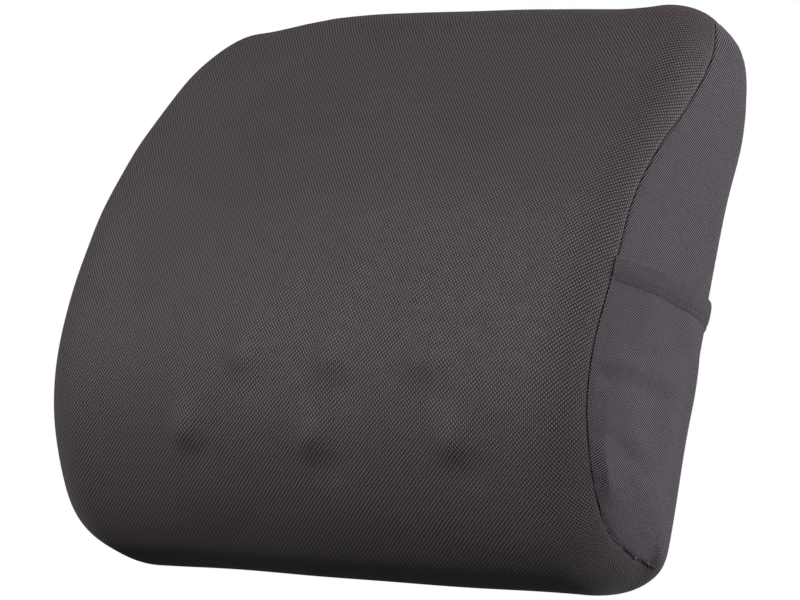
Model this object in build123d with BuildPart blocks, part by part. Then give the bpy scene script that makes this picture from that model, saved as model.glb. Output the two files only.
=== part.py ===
from build123d import *
import math
import os

os.makedirs("parts", exist_ok=True)

# ---------------------------------------------------------------------------
# Lumbar support cushion with a fan of massage nodes, a side pocket and a
# zipped cover. Row frame: +X to the sitter's left, -Y is the face the back
# leans on, +Z up, origin on the flat base.
# ---------------------------------------------------------------------------

# --- overall form ----------------------------------------------------------
HALF_W = 176.0          # centre plane to the outer face of a side panel
COVER_T = 2.0           # cover fabric with its laminated backing
END_R = 20.0            # rounding where the front panel turns onto the side
BACK_Y = 70.0           # outer face of the flat back
BACK_Z0 = 26.0          # back is straight between these heights
BACK_Z1 = 262.0
FOAM_GAP = 0.4          # slack between cover and foam
FOAM_D = COVER_T + FOAM_GAP
SEAM_X = HALF_W - COVER_T   # side seam plane
FLAT_Y0 = -2.0          # straight of the base
FLAT_Y1 = 44.0
CORNER_R = 26.0

# outer side profile (y, z), from the top of the back over the front to the base
FRONT_PTS = [(BACK_Y, BACK_Z1), (65.9, 280.3), (58.6, 297.8), (48.8, 313.8), (34.7, 326.0),
             (16.4, 328.5), (0.4, 319.2), (-9.6, 303.4), (-15.7, 285.6), (-21.4, 267.7),
             (-28.6, 250.3), (-36.8, 233.4), (-45.1, 216.5), (-52.9, 199.4), (-59.3, 181.7),
             (-64.0, 163.5), (-67.0, 144.9), (-68.6, 126.2), (-68.7, 107.4), (-67.0, 88.7),
             (-62.8, 70.4), (-55.7, 53.0), (-46.3, 36.7), (-35.2, 21.5), (-23.0, 8.6),
             (-12.6, 2.0), (FLAT_Y0, 0.0)]

# --- foam stack ------------------------------------------------------------
COMFORT_T = 22.0        # depth of the comfort layer's back face under the profile
CARRIER_D0 = 22.3
CARRIER_D1 = 24.8
CARRIER_SLOT = 26.6

# --- massage nodes ---------------------------------------------------------
NODE_R = 11.0
NODE_TOP = 3.0          # node tip below the outer profile
PEG_R = 2.9
NODES = [(-64.0, 53.0), (20.0, 51.0), (106.0, 51.0),
         (-27.0, 90.0), (30.0, 89.0), (87.0, 89.0),
         (-7.0, 128.0), (32.0, 129.0), (73.0, 129.0),
         (-8.0, 174.0), (35.0, 173.0), (77.0, 171.0),
         (-4.0, 214.0), (36.0, 213.0), (76.0, 212.0)]

# --- vibration units -------------------------------------------------------
UNIT_X = (-33.0, 77.0)
UNIT_Y = -23.0
UNIT_Z = 105.0
UNIT_W = 52.0           # along X
UNIT_D = 34.0           # along Y
UNIT_H = 40.0           # along Z
UNIT_T = 2.0
MOTOR_R = 10.0
SHAFT_R = 1.0
WEIGHT_R = 8.5

# --- battery case ----------------------------------------------------------
CASE_X0 = 157.5
CASE_Y0, CASE_Y1 = -21.5, 44.0
CASE_Z0, CASE_Z1 = 52.0, 114.0
FLANGE_Y0, FLANGE_Y1 = -24.0, 46.5
FLANGE_Z0, FLANGE_Z1 = 46.0, 120.0
BAY_Y0, BAY_Y1 = -3.0, 42.0      # battery bay
SW_Y0, SW_Y1 = -19.5, -4.5       # switch bay
BEZEL_X1 = 178.4
DOOR_X0, DOOR_X1 = 176.2, 177.4
DOOR_TRAVEL = 58.0
CELL_R = 7.1
CELL_L = 50.0
BTN_TRAVEL = 1.5

# --- pocket ----------------------------------------------------------------
POCKET_INSET = 21.0
POCKET_X_IN = 183.6
POCKET_T = 1.6
HEM_Y0, HEM_Z0 = -52.0, 155.5    # top edge of the hem, front end
HEM_Y1, HEM_Z1 = 52.0, 168.5     # top edge of the hem, back end
HEM_W = 15.0

# --- zipper ----------------------------------------------------------------
ZIP_Z = 56.0
ZIP_HALF = 150.0
ZIP_SLOT = 9.0
SLIDER_X = 138.0

# --- strap -----------------------------------------------------------------
STRAP_Z = 205.0
STRAP_W = 38.0
STRAP_HALF = 154.0

# ---------------------------------------------------------------------------
# reference curves of the side profile
# ---------------------------------------------------------------------------
front_ref = Spline(*[(0, y, z) for y, z in FRONT_PTS])


def inset_points(edge, d, n):
    """Points of an edge in the YZ plane moved by d towards the inside."""
    pts = []
    for i in range(n + 1):
        u = i / n
        p = edge @ u
        t = edge % u
        # travelling over the front (towards -Y, then down, then +Y) the inside is on the left
        ny, nz = -t.Z, t.Y
        pts.append((p.Y + d * ny, p.Z + d * nz))
    return pts


def form_lines(d):
    """Closed profile, d inside the outer one, drawn in the active BuildLine."""
    f = inset_points(front_ref, d, 40)
    f[0] = (BACK_Y - d, BACK_Z1)
    f[-1] = (FLAT_Y0, d)
    Spline(*f)
    Line(f[-1], (FLAT_Y1, d))
    CenterArc((FLAT_Y1, CORNER_R), CORNER_R - d, 270, 90)
    Line((BACK_Y - d, BACK_Z0), f[0])


def band_lines(d0, d1, z_lo, z_hi):
    """Curved band between two depths under the front face."""
    a = [q for q in inset_points(front_ref, d0, 60) if z_lo <= q[1] <= z_hi and q[0] < 20]
    b = [q for q in inset_points(front_ref, d1, 60) if z_lo <= q[1] <= z_hi and q[0] < 20]
    Spline(*a)
    Line(a[-1], b[-1])
    Spline(*b)
    Line(b[0], a[0])


def front_at(z):
    """Point and outward normal of the front profile at a height."""
    lo, hi = 0.2, 0.95
    for _ in range(50):
        m = (lo + hi) / 2
        if (front_ref @ m).Z > z:
            lo = m
        else:
            hi = m
    p = front_ref @ lo
    t = front_ref % lo
    return (p.Y, p.Z), (t.Z, -t.Y)


def save(builder, name):
    builder.part.label = name
    export_step(builder.part, "parts/" + name + ".step")
    print(name, round(builder.part.volume, 1), len(builder.part.solids()))


def run_radii(pts, limit=0.45):
    """Largest tangent arc for each corner of a lead's route."""
    v = [Vector(*p) for p in pts]
    out = []
    for a, b, c in zip(v[:-2], v[1:-1], v[2:]):
        turn = math.radians((b - a).get_angle(c - b))
        shorter = min((b - a).length, (c - b).length)
        out.append(round(limit * shorter / math.tan(turn / 2), 2))
    return out


# ---------------------------------------------------------------------------
# envelopes: outer skin, inner skin and foam body
# ---------------------------------------------------------------------------
ROUND_STEPS = [90, 66, 45, 24, 0]


def rounded_form(half, d, r):
    """Side profile carried across X, with both ends rounded over in steps."""
    stations = [(half - r + r * math.sin(math.radians(t)), d + r * (1 - math.cos(math.radians(t))))
                for t in ROUND_STEPS]
    stations = [(-x, q) for x, q in stations] + [(x, q) for x, q in reversed(stations)]
    with BuildPart() as form:
        for x, q in stations:
            with BuildSketch(Plane.YZ.offset(x)):
                with BuildLine():
                    form_lines(q)
                make_face()
        loft(ruled=True)
    return form


outer_form = rounded_form(HALF_W, 0.0, END_R)
inner_form = rounded_form(HALF_W - COVER_T, COVER_T, END_R - COVER_T)
foam_form = rounded_form(HALF_W - FOAM_D, FOAM_D, END_R - FOAM_D)

with BuildPart() as cover_shell:
    add(outer_form.part)
    add(inner_form.part, mode=Mode.SUBTRACT)

print("forms", outer_form.part.volume, inner_form.part.volume, foam_form.part.volume)

# ---------------------------------------------------------------------------
# cover panels
# ---------------------------------------------------------------------------
with BuildPart() as back_zone:
    with BuildSketch(Plane.XY.offset(BACK_Z0)):
        with Locations((0, 65)):
            Rectangle(2 * SEAM_X, 50)
    extrude(amount=BACK_Z1 - BACK_Z0)

with BuildPart() as middle_zone:
    with BuildSketch(Plane.YZ.offset(-SEAM_X)):
        with Locations((0, 165)):
            Rectangle(300, 400)
    extrude(amount=2 * SEAM_X)

with BuildPart() as front_panel:
    add(cover_shell.part)
    add(middle_zone.part, mode=Mode.INTERSECT)
    add(back_zone.part, mode=Mode.SUBTRACT)
save(front_panel, "front_panel")

with BuildPart() as side_panel_left:
    add(cover_shell.part)
    with BuildSketch(Plane.YZ.offset(-HALF_W - 5)):
        with Locations((0, 165)):
            Rectangle(300, 400)
    extrude(amount=5 + COVER_T, mode=Mode.INTERSECT)
save(side_panel_left, "side_panel_left")

SCREWS = [(-19.0, 49.0), (38.0, 49.0), (-19.0, 117.0)]

with BuildPart() as side_panel_right:
    add(cover_shell.part)
    with BuildSketch(Plane.YZ.offset(SEAM_X)):
        with Locations((0, 165)):
            Rectangle(300, 400)
    extrude(amount=5 + COVER_T, mode=Mode.INTERSECT)
    # window for the battery case behind the pocket
    with BuildSketch(Plane.YZ.offset(SEAM_X - 1)):
        with Locations(((CASE_Y0 + CASE_Y1) / 2, (CASE_Z0 + CASE_Z1) / 2)):
            Rectangle(CASE_Y1 - CASE_Y0 + 0.4, CASE_Z1 - CASE_Z0 + 0.4)
        with Locations(*SCREWS):
            Circle(1.2)
    extrude(amount=COVER_T + 2, mode=Mode.SUBTRACT)
save(side_panel_right, "side_panel_right")

with BuildPart() as zip_slot:
    with BuildSketch(Plane.XZ.offset(-60)):
        with Locations((0, ZIP_Z)):
            Rectangle(2 * ZIP_HALF, 2 * ZIP_SLOT)
    extrude(amount=-20)

with BuildPart() as back_panel_upper:
    add(cover_shell.part)
    add(back_zone.part, mode=Mode.INTERSECT)
    split(bisect_by=Plane.XY.offset(ZIP_Z), keep=Keep.TOP)
    add(zip_slot.part, mode=Mode.SUBTRACT)
save(back_panel_upper, "back_panel_upper")

with BuildPart() as back_panel_lower:
    add(cover_shell.part)
    add(back_zone.part, mode=Mode.INTERSECT)
    split(bisect_by=Plane.XY.offset(ZIP_Z), keep=Keep.BOTTOM)
    add(zip_slot.part, mode=Mode.SUBTRACT)
save(back_panel_lower, "back_panel_lower")

# ---------------------------------------------------------------------------
# zipper in the back panel
# ---------------------------------------------------------------------------
TAPE_Y0, TAPE_Y1 = 68.3, 69.3
COIL_Y0, COIL_Y1 = 67.9, 69.8

with BuildPart() as zipper_tape_upper:
    with BuildSketch(Plane.YZ.offset(-ZIP_HALF)):
        with BuildLine():
            Polyline((TAPE_Y0, ZIP_Z + 2.6), (TAPE_Y1, ZIP_Z + 2.6), (TAPE_Y1, ZIP_Z + ZIP_SLOT),
                     (TAPE_Y0, ZIP_Z + ZIP_SLOT), close=True)
        make_face()
    extrude(amount=2 * ZIP_HALF)
save(zipper_tape_upper, "zipper_tape_upper")

with BuildPart() as zipper_tape_lower:
    with BuildSketch(Plane.YZ.offset(-ZIP_HALF)):
        with BuildLine():
            Polyline((TAPE_Y0, ZIP_Z - 2.6), (TAPE_Y1, ZIP_Z - 2.6), (TAPE_Y1, ZIP_Z - ZIP_SLOT),
                     (TAPE_Y0, ZIP_Z - ZIP_SLOT), close=True)
        make_face()
    extrude(amount=2 * ZIP_HALF)
save(zipper_tape_lower, "zipper_tape_lower")

COIL_HALF = 143.0
COIL_PITCH = 3.0
COIL_N = 94


def coil(sign):
    """Rail of coil elements: a core cord with regular teeth towards the centre line."""
    with BuildPart() as c:
        with BuildSketch(Plane.YZ.offset(-COIL_HALF)):
            with Locations(((COIL_Y0 + COIL_Y1) / 2, ZIP_Z + sign * 2.1)):
                Rectangle(COIL_Y1 - COIL_Y0, 1.0)
        extrude(amount=2 * COIL_HALF)
        with BuildSketch(Plane.XZ.offset(-COIL_Y0 - 0.1)):
            with Locations((0, ZIP_Z + sign * 1.05)):
                with GridLocations(COIL_PITCH, 1, COIL_N, 1):
                    Rectangle(1.5, 1.2)
        extrude(amount=-(COIL_Y1 - COIL_Y0 - 0.2))
    return c


zipper_coil_upper = coil(1)
save(zipper_coil_upper, "zipper_coil_upper")
zipper_coil_lower = coil(-1)
save(zipper_coil_lower, "zipper_coil_lower")

with BuildPart() as zipper_stops:
    with BuildSketch(Plane.XZ.offset(-67.6)):
        with Locations((-COIL_HALF - 2.5, ZIP_Z), (COIL_HALF + 2.5, ZIP_Z)):
            RectangleRounded(4.0, 5.2, 0.8)
    extrude(amount=-2.6)
save(zipper_stops, "zipper_stops")

with BuildPart() as zipper_slider:
    # outer plate
    with BuildSketch(Plane.XZ.offset(-70.3)):
        with Locations((SLIDER_X, ZIP_Z)):
            RectangleRounded(9.0, 9.0, 2.0)
    extrude(amount=-1.25)
    # inner plate
    with BuildSketch(Plane.XZ.offset(-66.3)):
        with Locations((SLIDER_X, ZIP_Z)):
            RectangleRounded(9.0, 8.0, 2.0)
    extrude(amount=-1.2)
    # web between the two coils
    with BuildSketch(Plane.XZ.offset(-67.0)):
        with Locations((SLIDER_X, ZIP_Z)):
            Rectangle(6.0, 0.5)
    extrude(amount=-4.0)
    # lugs that hold the pull's pin
    with BuildSketch(Plane.XZ.offset(-71.4)):
        with Locations((SLIDER_X, ZIP_Z + 2.4), (SLIDER_X, ZIP_Z - 2.4)):
            Rectangle(2.8, 1.2)
    extrude(amount=-2.6)
    with BuildSketch(Plane.XY.offset(ZIP_Z - 3.0)):
        with Locations((SLIDER_X, 72.8)):
            Circle(0.6)
    extrude(amount=6.0)
save(zipper_slider, "zipper_slider")

with BuildPart() as zipper_pull:
    # knuckle round the pin
    with BuildSketch(Plane.XY.offset(ZIP_Z - 1.5)):
        with Locations((SLIDER_X, 72.8)):
            Circle(1.2)
    extrude(amount=3.0)
    # neck and tab
    with BuildSketch(Plane.XZ.offset(-72.3)):
        with Locations((SLIDER_X - 3.0, ZIP_Z)):
            Rectangle(6.0, 3.0)
        with Locations((SLIDER_X - 15.5, ZIP_Z)):
            SlotOverall(21.0, 7.0)
        with Locations((SLIDER_X - 20.5, ZIP_Z)):
            SlotOverall(7.0, 3.2, mode=Mode.SUBTRACT)
    extrude(amount=-1.0)
    with BuildSketch(Plane.XY.offset(ZIP_Z - 2.0)):
        with Locations((SLIDER_X, 72.8)):
            Circle(0.67)
    extrude(amount=4.0, mode=Mode.SUBTRACT)
save(zipper_pull, "zipper_pull")

# ---------------------------------------------------------------------------
# elastic strap across the back, sewn down at both ends
# ---------------------------------------------------------------------------
with BuildPart() as chair_strap:
    with BuildSketch(Plane.XY.offset(STRAP_Z - STRAP_W / 2)):
        with BuildLine():
            Polyline((-STRAP_HALF, BACK_Y), (-STRAP_HALF, BACK_Y + 1.4), (-138, BACK_Y + 2.0),
                     (138, BACK_Y + 2.0), (STRAP_HALF, BACK_Y + 1.4), (STRAP_HALF, BACK_Y),
                     (142, BACK_Y), (138, BACK_Y + 0.6), (-138, BACK_Y + 0.6), (-142, BACK_Y),
                     close=True)
        make_face()
    extrude(amount=STRAP_W)
save(chair_strap, "chair_strap")

with BuildPart() as strap_patches:
    with BuildSketch(Plane.XZ.offset(-BACK_Y)):
        with Locations((-152.0, STRAP_Z), (152.0, STRAP_Z)):
            Rectangle(7.0, STRAP_W + 8.0)
        with Locations((-152.0, STRAP_Z), (152.0, STRAP_Z)):
            Rectangle(8.0, STRAP_W, mode=Mode.SUBTRACT)
    extrude(amount=-1.2)
save(strap_patches, "strap_patches")

# ---------------------------------------------------------------------------
# side pocket on the right panel
# ---------------------------------------------------------------------------
def pocket_region(d):
    """Side profile inset by d, closed."""
    f = inset_points(front_ref, d, 60)
    f = [q for q in f if d + 1.5 < q[1] < 200 and q[0] < 12]
    Spline(*f, (20.0, d))
    Line((20.0, d), (BACK_Y - d - 6, d))
    CenterArc((BACK_Y - d - 6, d + 6), 6, 270, 90)
    Line((BACK_Y - d, d + 6), (BACK_Y - d, f[0][1]))
    Line((BACK_Y - d, f[0][1]), f[0])


with BuildPart() as pocket_form:
    with BuildSketch(Plane.YZ.offset(HALF_W)):
        with BuildLine():
            pocket_region(POCKET_INSET)
        make_face()
    extrude(amount=POCKET_X_IN + POCKET_T - HALF_W)
    with BuildSketch(Plane.YZ.offset(HALF_W - 1)):
        with BuildLine():
            pocket_region(POCKET_INSET + POCKET_T)
        make_face()
    extrude(amount=POCKET_X_IN - HALF_W + 1, mode=Mode.SUBTRACT)

hem_len = math.hypot(HEM_Y1 - HEM_Y0, HEM_Z1 - HEM_Z0)
hem_dy, hem_dz = (HEM_Y1 - HEM_Y0) / hem_len, (HEM_Z1 - HEM_Z0) / hem_len


def below_line(drop, depth):
    """Quadrilateral under the hem's top edge, from drop to drop + depth."""
    a = (HEM_Y0 - 60 * hem_dy + drop * hem_dz, HEM_Z0 - 60 * hem_dz - drop * hem_dy)
    b = (HEM_Y1 + 60 * hem_dy + drop * hem_dz, HEM_Z1 + 60 * hem_dz - drop * hem_dy)
    c = (b[0] + depth * hem_dz, b[1] - depth * hem_dy)
    e = (a[0] + depth * hem_dz, a[1] - depth * hem_dy)
    Polyline(a, b, c, e, close=True)


with BuildPart() as pocket_panel:
    add(pocket_form.part)
    with BuildSketch(Plane.YZ.offset(HALF_W - 5)):
        with BuildLine():
            below_line(HEM_W, 260.0)
        make_face()
    extrude(amount=30, mode=Mode.INTERSECT)
save(pocket_panel, "pocket_panel")

with BuildPart() as pocket_hem:
    add(pocket_form.part)
    # folded edge stands one more ply proud of the panel
    with BuildSketch(Plane.YZ.offset(POCKET_X_IN + POCKET_T)):
        with BuildLine():
            pocket_region(POCKET_INSET)
        make_face()
    extrude(amount=1.2)
    with BuildSketch(Plane.YZ.offset(HALF_W - 5)):
        with BuildLine():
            below_line(0.0, HEM_W)
        make_face()
    extrude(amount=30, mode=Mode.INTERSECT)
    # tunnel for the elastic
    with BuildSketch(Plane.YZ.offset(POCKET_X_IN + 0.9)):
        with BuildLine():
            below_line(3.0, 9.0)
        make_face()
    extrude(amount=1.0, mode=Mode.SUBTRACT)
save(pocket_hem, "pocket_hem")

with BuildPart() as pocket_elastic:
    with BuildSketch(Plane.YZ.offset(POCKET_X_IN + 1.0)):
        with BuildLine():
            pocket_region(POCKET_INSET + 2.0)
        make_face()
    extrude(amount=0.8)
    with BuildSketch(Plane.YZ.offset(HALF_W - 5)):
        with BuildLine():
            below_line(3.4, 8.2)
        make_face()
    extrude(amount=30, mode=Mode.INTERSECT)
save(pocket_elastic, "pocket_elastic")

# ---------------------------------------------------------------------------
# foam body: comfort layer in front, core behind
# ---------------------------------------------------------------------------
with BuildPart() as comfort_zone:
    with BuildSketch(Plane.YZ.offset(-200)):
        with BuildLine():
            g = [q for q in inset_points(front_ref, COMFORT_T, 60) if 26 <= q[1] <= 286 and q[0] < 20]
            Spline(*g)
            Polyline(g[-1], (-110, g[-1][1] - 2), (-110, g[0][1] + 2), g[0])
        make_face()
    extrude(amount=400)

node_frames = []
for nx, nz in NODES:
    (py, pz), (ny, nzn) = front_at(nz)
    node_frames.append(((nx, py, pz), (0, ny, nzn)))


def node_plane(i, depth):
    """Plane under node i at a depth below the outer profile, normal outwards."""
    (x, y, z), (_, ny, nz) = node_frames[i]
    return Plane(origin=(x, y - depth * ny, z - depth * nz), x_dir=(1, 0, 0), z_dir=(0, ny, nz))


with BuildPart() as comfort_layer:
    add(foam_form.part)
    add(comfort_zone.part, mode=Mode.INTERSECT)
    for i in range(len(NODES)):
        with BuildSketch(node_plane(i, 40.0)):
            Circle(NODE_R + 0.6)
        extrude(amount=60, mode=Mode.SUBTRACT)
save(comfort_layer, "comfort_layer")

FAN_SLOT = [(-92, 34), (137, 34), (106, 234), (-32, 234)]
FAN = [(-89, 37), (134, 37), (103, 231), (-29, 231)]

with BuildPart() as carrier_slot:
    with BuildSketch(Plane.YZ.offset(-92)):
        with BuildLine():
            band_lines(COMFORT_T - 0.5, CARRIER_SLOT, 20, 250)
        make_face()
    extrude(amount=229)
    with BuildSketch(Plane.XZ.offset(-60)):
        with BuildLine():
            Polyline(*FAN_SLOT, close=True)
        make_face()
    extrude(amount=160, mode=Mode.INTERSECT)

LEAD_A = [(CASE_X0 - 0.4, -10.0, 100.0), (138.0, -12.0, 103.0), (122.0, -19.0, 107.0),
          (108.0, UNIT_Y, UNIT_Z), (97.1, UNIT_Y, UNIT_Z)]
LEAD_B = [(CASE_X0 - 0.4, 8.0, 96.0), (130.0, 6.0, 92.0), (102.0, 8.0, 98.0), (72.0, 7.0, 95.0),
          (44.0, 3.0, 99.0), (22.0, -10.0, 102.0), (4.0, UNIT_Y, UNIT_Z), (-12.9, UNIT_Y, UNIT_Z)]
LEAD_R = 1.2

with BuildPart() as foam_core:
    add(foam_form.part)
    add(comfort_zone.part, mode=Mode.SUBTRACT)
    add(carrier_slot.part, mode=Mode.SUBTRACT)
    # chambers for the vibration units, open to the carrier slot
    with BuildSketch(Plane.XZ.offset(45)):
        with Locations((UNIT_X[0], UNIT_Z), (UNIT_X[1], UNIT_Z)):
            Rectangle(UNIT_W + 1, UNIT_H + 1)
    extrude(amount=-(45 + UNIT_Y + UNIT_D / 2 + 0.5), mode=Mode.SUBTRACT)
    # chamber for the battery case
    with BuildSketch(Plane.YZ.offset(CASE_X0 - 0.3)):
        with Locations(((FLANGE_Y0 + FLANGE_Y1) / 2, (FLANGE_Z0 + FLANGE_Z1) / 2)):
            Rectangle(FLANGE_Y1 - FLANGE_Y0 + 1, FLANGE_Z1 - FLANGE_Z0 + 1)
    extrude(amount=30, mode=Mode.SUBTRACT)
    # groove for the zipper slider's inner plate
    with BuildSketch(Plane.XZ.offset(-65.8)):
        with Locations((0, ZIP_Z)):
            Rectangle(2 * ZIP_HALF + 4, 12)
    extrude(amount=-8, mode=Mode.SUBTRACT)
save(foam_core, "foam_core")

# ---------------------------------------------------------------------------
# node carrier and massage nodes
# ---------------------------------------------------------------------------
with BuildPart() as node_carrier:
    with BuildSketch(Plane.YZ.offset(-90)):
        with BuildLine():
            band_lines(CARRIER_D0, CARRIER_D1, 24, 245)
        make_face()
    extrude(amount=225)
    with BuildSketch(Plane.XZ.offset(-60)):
        with BuildLine():
            Polyline(*FAN, close=True)
        make_face()
    extrude(amount=160, mode=Mode.INTERSECT)
    for i in range(len(NODES)):
        with BuildSketch(node_plane(i, 35.0)):
            Circle(PEG_R + 0.1)
        extrude(amount=30, mode=Mode.SUBTRACT)
save(node_carrier, "node_carrier")

with BuildPart() as massage_nodes:
    for i in range(len(NODES)):
        with BuildSketch(node_plane(i, COMFORT_T - 0.1)):
            Circle(NODE_R)
        extrude(amount=COMFORT_T - 0.1 - NODE_TOP, taper=6)
        with BuildSketch(node_plane(i, CARRIER_SLOT - 0.3)):
            Circle(PEG_R)
        extrude(amount=CARRIER_SLOT - COMFORT_T)
save(massage_nodes, "massage_nodes")

# ---------------------------------------------------------------------------
# vibration units: housing halves, motor, shaft, eccentric weight
# ---------------------------------------------------------------------------
SCREW_DX = UNIT_W / 2 - 5.0
SCREW_DZ = UNIT_H / 2 - 5.0


def housing_half(cx, front):
    """One half of a unit's clamshell. The front half faces -Y."""
    y0 = UNIT_Y
    s = -1 if front else 1
    depth = UNIT_D / 2
    with BuildPart() as h:
        with BuildSketch(Plane.XZ.offset(-y0)):
            with Locations((cx, UNIT_Z)):
                RectangleRounded(UNIT_W, UNIT_H, 5)
        extrude(amount=-s * depth)
        with BuildSketch(Plane.XZ.offset(-y0)):
            with Locations((cx, UNIT_Z)):
                RectangleRounded(UNIT_W - 2 * UNIT_T, UNIT_H - 2 * UNIT_T, 3)
        extrude(amount=-s * (depth - UNIT_T), mode=Mode.SUBTRACT)
        # screw bosses
        with BuildSketch(Plane.XZ.offset(-y0)):
            with Locations((cx - SCREW_DX, UNIT_Z - SCREW_DZ), (cx + SCREW_DX, UNIT_Z - SCREW_DZ),
                           (cx - SCREW_DX, UNIT_Z + SCREW_DZ), (cx + SCREW_DX, UNIT_Z + SCREW_DZ)):
                Circle(3.2)
        extrude(amount=-s * (depth - 1))
        # saddle rib for the motor
        with BuildSketch(Plane.XZ.offset(-y0)):
            with Locations((cx + 7.0, UNIT_Z), (cx + 17.0, UNIT_Z)):
                Rectangle(2.0, UNIT_H - 2 * UNIT_T)
        extrude(amount=-s * (depth - 1))
        with BuildSketch(Plane.YZ.offset(cx - 24)):
            with Locations((y0, UNIT_Z)):
                Circle(MOTOR_R + 0.02)
        extrude(amount=44.5, mode=Mode.SUBTRACT)
        # lead entry
        with BuildSketch(Plane.YZ.offset(cx + UNIT_W / 2 - 4)):
            with Locations((y0, UNIT_Z)):
                Circle(LEAD_R + 0.1)
        extrude(amount=6, mode=Mode.SUBTRACT)
        # screw holes
        with BuildSketch(Plane.XZ.offset(-y0)):
            with Locations((cx - SCREW_DX, UNIT_Z - SCREW_DZ), (cx + SCREW_DX, UNIT_Z - SCREW_DZ),
                           (cx - SCREW_DX, UNIT_Z + SCREW_DZ), (cx + SCREW_DX, UNIT_Z + SCREW_DZ)):
                Circle(1.3)
        extrude(amount=-s * (depth - 3 if front else depth), mode=Mode.SUBTRACT)
    return h


def motor_can(cx):
    """Small can motor, terminals towards +X, shaft towards -X."""
    with BuildPart() as m:
        with BuildSketch(Plane.YZ.offset(cx - 4)):
            with Locations((UNIT_Y, UNIT_Z)):
                Circle(MOTOR_R)
        extrude(amount=23)
        # front bearing boss
        with BuildSketch(Plane.YZ.offset(cx - 6)):
            with Locations((UNIT_Y, UNIT_Z)):
                Circle(3.0)
        extrude(amount=2)
        # rear cap boss
        with BuildSketch(Plane.YZ.offset(cx + 19)):
            with Locations((UNIT_Y, UNIT_Z)):
                Circle(5.0)
        extrude(amount=1)
        with BuildSketch(Plane.YZ.offset(cx - 6)):
            with Locations((UNIT_Y, UNIT_Z)):
                Circle(SHAFT_R + 0.05)
        extrude(amount=10, mode=Mode.SUBTRACT)
    return m


def motor_shaft(cx):
    with BuildPart() as s:
        with BuildSketch(Plane.YZ.offset(cx - 19)):
            with Locations((UNIT_Y, UNIT_Z)):
                Circle(SHAFT_R)
        extrude(amount=22)
    return s


def eccentric(cx):
    """Half-disc weight fixed on the shaft."""
    with BuildPart() as w:
        with BuildSketch(Plane.YZ.offset(cx - 17)):
            with Locations((UNIT_Y, UNIT_Z)):
                Circle(WEIGHT_R)
            with Locations((UNIT_Y, UNIT_Z + WEIGHT_R + 1.2)):
                Rectangle(4 * WEIGHT_R, 2 * WEIGHT_R, mode=Mode.SUBTRACT)
            with Locations((UNIT_Y, UNIT_Z)):
                Circle(2.6)
            with Locations((UNIT_Y, UNIT_Z)):
                Circle(SHAFT_R, mode=Mode.SUBTRACT)
        extrude(amount=8)
    return w


for side, cx in zip(("right", "left"), (UNIT_X[1], UNIT_X[0])):
    save(housing_half(cx, True), "motor_housing_front_" + side)
    save(housing_half(cx, False), "motor_housing_rear_" + side)
    save(motor_can(cx), "motor_" + side)
    save(motor_shaft(cx), "motor_shaft_" + side)
    save(eccentric(cx), "eccentric_weight_" + side)

with BuildPart() as damping_pads:
    with BuildSketch(Plane.XZ.offset(-(UNIT_Y - UNIT_D / 2))):
        with Locations((UNIT_X[0], UNIT_Z + 3), (UNIT_X[1], UNIT_Z + 3)):
            RectangleRounded(34, 15, 4)
    extrude(amount=1.7)
save(damping_pads, "damping_pads")

with BuildPart() as housing_screws:
    hx = [(u + a * SCREW_DX, UNIT_Z + b * SCREW_DZ) for u in UNIT_X for a in (-1, 1) for b in (-1, 1)]
    with BuildSketch(Plane.XZ.offset(-(UNIT_Y - UNIT_D / 2 + 4))):
        with Locations(*hx):
            Circle(1.25)
    extrude(amount=-(UNIT_D - 4))
    with BuildSketch(Plane.XZ.offset(-(UNIT_Y + UNIT_D / 2))):
        with Locations(*hx):
            Circle(2.3)
        with Locations(*hx):
            Rectangle(3.2, 0.6, mode=Mode.SUBTRACT)
    extrude(amount=-0.4)
save(housing_screws, "housing_screws")

# ---------------------------------------------------------------------------
# leads from the battery case to the motors
# ---------------------------------------------------------------------------
rad_a = run_radii(LEAD_A)
rad_b = run_radii(LEAD_B)
print("lead radii", rad_a, rad_b)

with BuildPart() as motor_lead_right:
    with BuildLine() as path_a:
        FilletPolyline(*LEAD_A, radius=rad_a)
    with BuildSketch(Plane(origin=path_a.line @ 0, z_dir=path_a.line % 0)):
        Circle(LEAD_R)
    sweep()
save(motor_lead_right, "motor_lead_right")
print("lead a", sum(e.length for e in path_a.edges()), motor_lead_right.part.volume / (math.pi * LEAD_R ** 2))

with BuildPart() as motor_lead_left:
    with BuildLine() as path_b:
        FilletPolyline(*LEAD_B, radius=rad_b)
    with BuildSketch(Plane(origin=path_b.line @ 0, z_dir=path_b.line % 0)):
        Circle(LEAD_R)
    sweep()
save(motor_lead_left, "motor_lead_left")
print("lead b", sum(e.length for e in path_b.edges()), motor_lead_left.part.volume / (math.pi * LEAD_R ** 2))

# ---------------------------------------------------------------------------
# battery case: tub behind the side panel, bezel in front of it
# ---------------------------------------------------------------------------
cy, cz = (CASE_Y0 + CASE_Y1) / 2, (CASE_Z0 + CASE_Z1) / 2
fy, fz = (FLANGE_Y0 + FLANGE_Y1) / 2, (FLANGE_Z0 + FLANGE_Z1) / 2

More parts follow.
